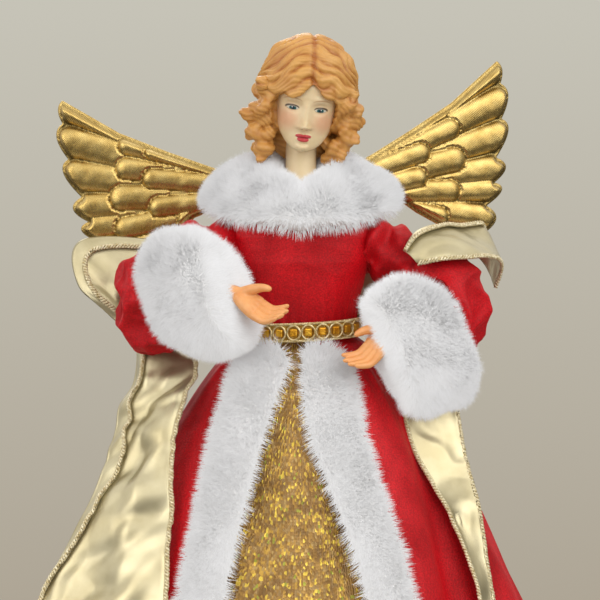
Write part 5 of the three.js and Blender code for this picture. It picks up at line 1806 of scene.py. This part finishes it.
wrap_upper_shares = [
    (2.5, 0.68, 0.54), (2.58, 0.44, 0.75), (2.19, 0.08, 0.78), (1.83, -0.32, 0.78), (1.58, -0.64, 0.73),
    (1.42, -0.92, 0.6),
]
wrap_lower_shares = [
    (2.75, 0.16, 0.3), (2.8, -0.16, 0.48), (2.64, -0.64, 0.55), (2.33, -1.04, 0.55), (1.94, -1.24, 0.54),
    (1.61, -1.16, 0.51),
]


# A curve whose speed follows the gaps between its places, so that it doesn't loop.
def even_curve(places, shares):
    padded = np.concatenate([2 * places[:1] - places[1:2], places, 2 * places[-1:] - places[-2:-1]])
    count = len(places) - 1
    result = []
    for share in shares:
        at = share * count
        index = min(int(at), count - 1)
        a, b, c, d = padded[index:index + 4]
        gaps = [np.linalg.norm(q - p) ** 0.5 for p, q in ((a, b), (b, c), (c, d))]
        knots = np.concatenate([[0], np.cumsum(gaps)])
        t = knots[1] + (knots[2] - knots[1]) * (at - index)

        def blend_of(p, q, low, high):
            return p + (q - p) * ((t - low) / (high - low))

        ab = blend_of(a, b, knots[0], knots[1])
        bc = blend_of(b, c, knots[1], knots[2])
        cd = blend_of(c, d, knots[2], knots[3])
        abc = blend_of(ab, bc, knots[0], knots[2])
        bcd = blend_of(bc, cd, knots[1], knots[3])
        result.append(blend_of(abc, bcd, knots[1], knots[2]))
    return np.array(result)


def clear_of_skirt(points, gap):
    height = points[..., 2]
    half_width, half_depth = bell(height, stole_smallest_drop)[1:]
    angle = np.arctan2(points[..., 0] / half_width, -points[..., 1] / half_depth)
    drape = skirt_points(angle, height)
    least = np.linalg.norm(drape[..., :2], axis=-1) + gap
    reach = np.linalg.norm(points[..., :2], axis=-1)
    scale = np.where((reach < least) & (height < flare_top), least / reach, 1)
    return points * np.stack([scale, scale, np.ones_like(scale)], -1)


# Crumples: flat facets about size across that meet in creases, from -0.5 to 0.5.
def crumples(across, along, size, seed):
    chance = np.random.default_rng(seed)
    bends = np.stack([across, along, 0 * across], -1)
    x = across / size + 0.35 * wander(bends, 3 * size, seed + 7)
    y = along / size + 0.35 * wander(bends, 3 * size, seed + 8)
    x -= x.min()
    y -= y.min()
    heights = chance.uniform(-0.5, 0.5, (int(x.max()) + 3, int(y.max()) + 3))
    i = x.astype(int)
    j = y.astype(int)
    p = x - i
    q = y - j
    lower = heights[i, j] * (1 - p - q) + heights[i + 1, j] * p + heights[i, j + 1] * q
    upper = heights[i + 1, j + 1] * (p + q - 1) + heights[i + 1, j] * (1 - q) + heights[i, j + 1] * (1 - p)
    values = np.where(p + q < 1, lower, upper)
    for _ in range(6):
        values[1:-1, 1:-1] = (
            values[1:-1, 1:-1] * 2 + values[:-2, 1:-1] + values[2:, 1:-1]
            + values[1:-1, :-2] + values[1:-1, 2:]
        ) / 6
    return values


# The strip between its two edges. Its outer edge is turned over as a flap, as wide as the table of
# flap widths says from the strip's top to its foot, so the strip starts at the flap's edge.
def stole_points(outer, inner, ripples, rows, columns, crumple, seed, gap, flap_widths):
    shares = np.linspace(0, 1, rows)
    first = even_curve(outer, shares)
    second = even_curve(inner, shares)
    width = np.linalg.norm(second - first, axis=-1)[:, None]
    flap = np.interp(shares, np.linspace(0, 1, len(flap_widths)), flap_widths)[:, None] / width
    folded = np.linspace(1, 0, flap_columns)[None] * flap
    across = np.concatenate([folded, np.linspace(0, 1, columns)[None, 1:] + 0 * flap], 1)
    over = np.concatenate([np.linspace(1, 0, flap_columns) ** 0.5, np.zeros(columns - 1)])
    points = first[:, None] + (second - first)[:, None] * across[..., None]
    length = np.concatenate([[0], np.cumsum(np.linalg.norm(np.diff(first, axis=0), axis=1))])
    ripple = ripple_depth * (1 - np.cos(2 * math.pi * ripples * across)) * shares[:, None]
    plain = first[:, None] + (second - first)[:, None] * np.linspace(0, 1, columns)[None, :, None]
    facing = -grid_normals(plain, False).mean(1)[:, None] + 0 * points
    soft = np.clip(np.sin(math.pi * np.clip(across, 0.04, 0.96)), 0, 1) ** 0.4
    down = length[:, None] + 0 * across
    facets = crumples(across * width, down, facet_size, seed)
    facets = facets + 0.35 * crumples(across * width, down, small_facet_size, seed + 1)
    free = 0.3 + 0.7 * np.clip((waist_height + free_rise - points[..., 2]) / free_fade, 0, 1)
    rumple = crumple * soft * free * np.maximum(facets + 0.35, 0)
    points = points + facing * rumple[..., None]
    points = clear_of_skirt(points, gap + ripple + np.maximum(rumple, 0))
    flap_rise = np.minimum(flap * width, flap_least_width)[..., None]
    return points + facing * (flap_thickness * over)[None, :, None] * flap_rise


lame_material, lame_tree, lame_shader = start_material("champagne_lame", colour(214, 202, 160), 0.3, 0.75)
lame_weave, lame_glint = woven(lame_tree, place_of(lame_tree, "cloth_map"), 0.7)
lame_tint = mottled(lame_tree, place_of(lame_tree), 60, colour(184, 173, 136), colour(203, 194, 160))
lame_threads = maths(lame_tree, "MULTIPLY_ADD", lame_weave, 0.06, 0.96)
lame_colour = mixed(lame_tree, lame_tint, lame_threads, 1.0, "MULTIPLY")
put(lame_tree, lame_shader.inputs["Base Color"], lame_colour)
put(lame_tree, lame_shader.inputs["Roughness"], ranged(lame_tree, lame_glint, 0.28, 0.34))
relief(lame_tree, lame_shader, lame_weave, 0.00002, 0.6)
gimp_material = drifting_material(
    "stole_edging", colour(220, 208, 166), 0.45, 0.4, 800, colour(184, 164, 112), colour(242, 234, 204),
    1900, 0.0003,
)


# The edging: two cords that wind round each other, sewn along the edge of the cloth.
def edging(line, normals):
    steps = np.concatenate([[0], np.cumsum(np.linalg.norm(np.diff(line, axis=0), axis=1))])
    at = np.arange(0, steps[-1], edging_step)
    middle = np.stack([np.interp(at, steps, line[:, axis]) for axis in range(3)], -1)
    normal = unit(np.stack([np.interp(at, steps, normals[:, axis]) for axis in range(3)], -1))
    along = unit(np.gradient(middle, axis=0))
    side = np.cross(normal, along)
    cords = []
    for phase in (0, math.pi):
        winding = 2 * math.pi * at / edging_pitch + phase
        places = middle + side * edging_half_width * np.sin(winding)[:, None]
        places = places + normal * (edging_stand_off + edging_bow * np.cos(winding))[:, None]
        cords.append(swept_piece("cord", cord_rings(places, edging_cord_radius, 5)))
    return cords


# Each stretch: its names, what it rests on, its flat size in metres and how it is held. Then its
# two edges, ripples, rows, columns, depth of crumples, seed, gap to the coat and flap widths.
stretches = (
    (
        "left_stole", "figure", "stole_left", "coat_skirt", (0.048, 0.4), "draped",
        skirt_places(left_outer_shares), skirt_places(left_inner_shares),
        3, 260, 70, 15, 101, stole_gap, [0, 0, 4, 9, 9, 7, 8, 10, 12, 8, 0.5, 0],
    ),
    (
        "right_stole", "figure", "stole_right", "coat_skirt", (0.03, 0.18), "hung",
        skirt_places(right_outer_shares), skirt_places(right_inner_shares),
        2, 160, 36, 8, 103, stole_gap, [0],
    ),
    (
        "arm_stole", "right_arm", "stole_arm_wrap", "right_sleeve", (0.028, 0.08), "draped",
        bust_place(*wrap_upper_shares), bust_place(*wrap_lower_shares),
        2, 110, 40, 17, 105, 0.0, [0, 0, 4, 6, 5, 3],
    ),
)
for name, body, node_name, rests_on, flat, held, *measures in stretches:
    points = stole_points(*measures)
    normals = -grid_normals(points, False)
    trims = edging(points[:, 0], normals[:, flap_columns + 2]) + edging(points[:, -1], normals[:, -2])
    stole = surface_piece(name, points)
    thicken(stole, stole_thickness)
    stole.data.materials.append(lame_material)
    trim = join_pieces(name + "_edging", trims)
    trim.data.materials.append(gimp_material)
    for piece in (stole, trim):
        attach(piece, body)
    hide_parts(node_name)
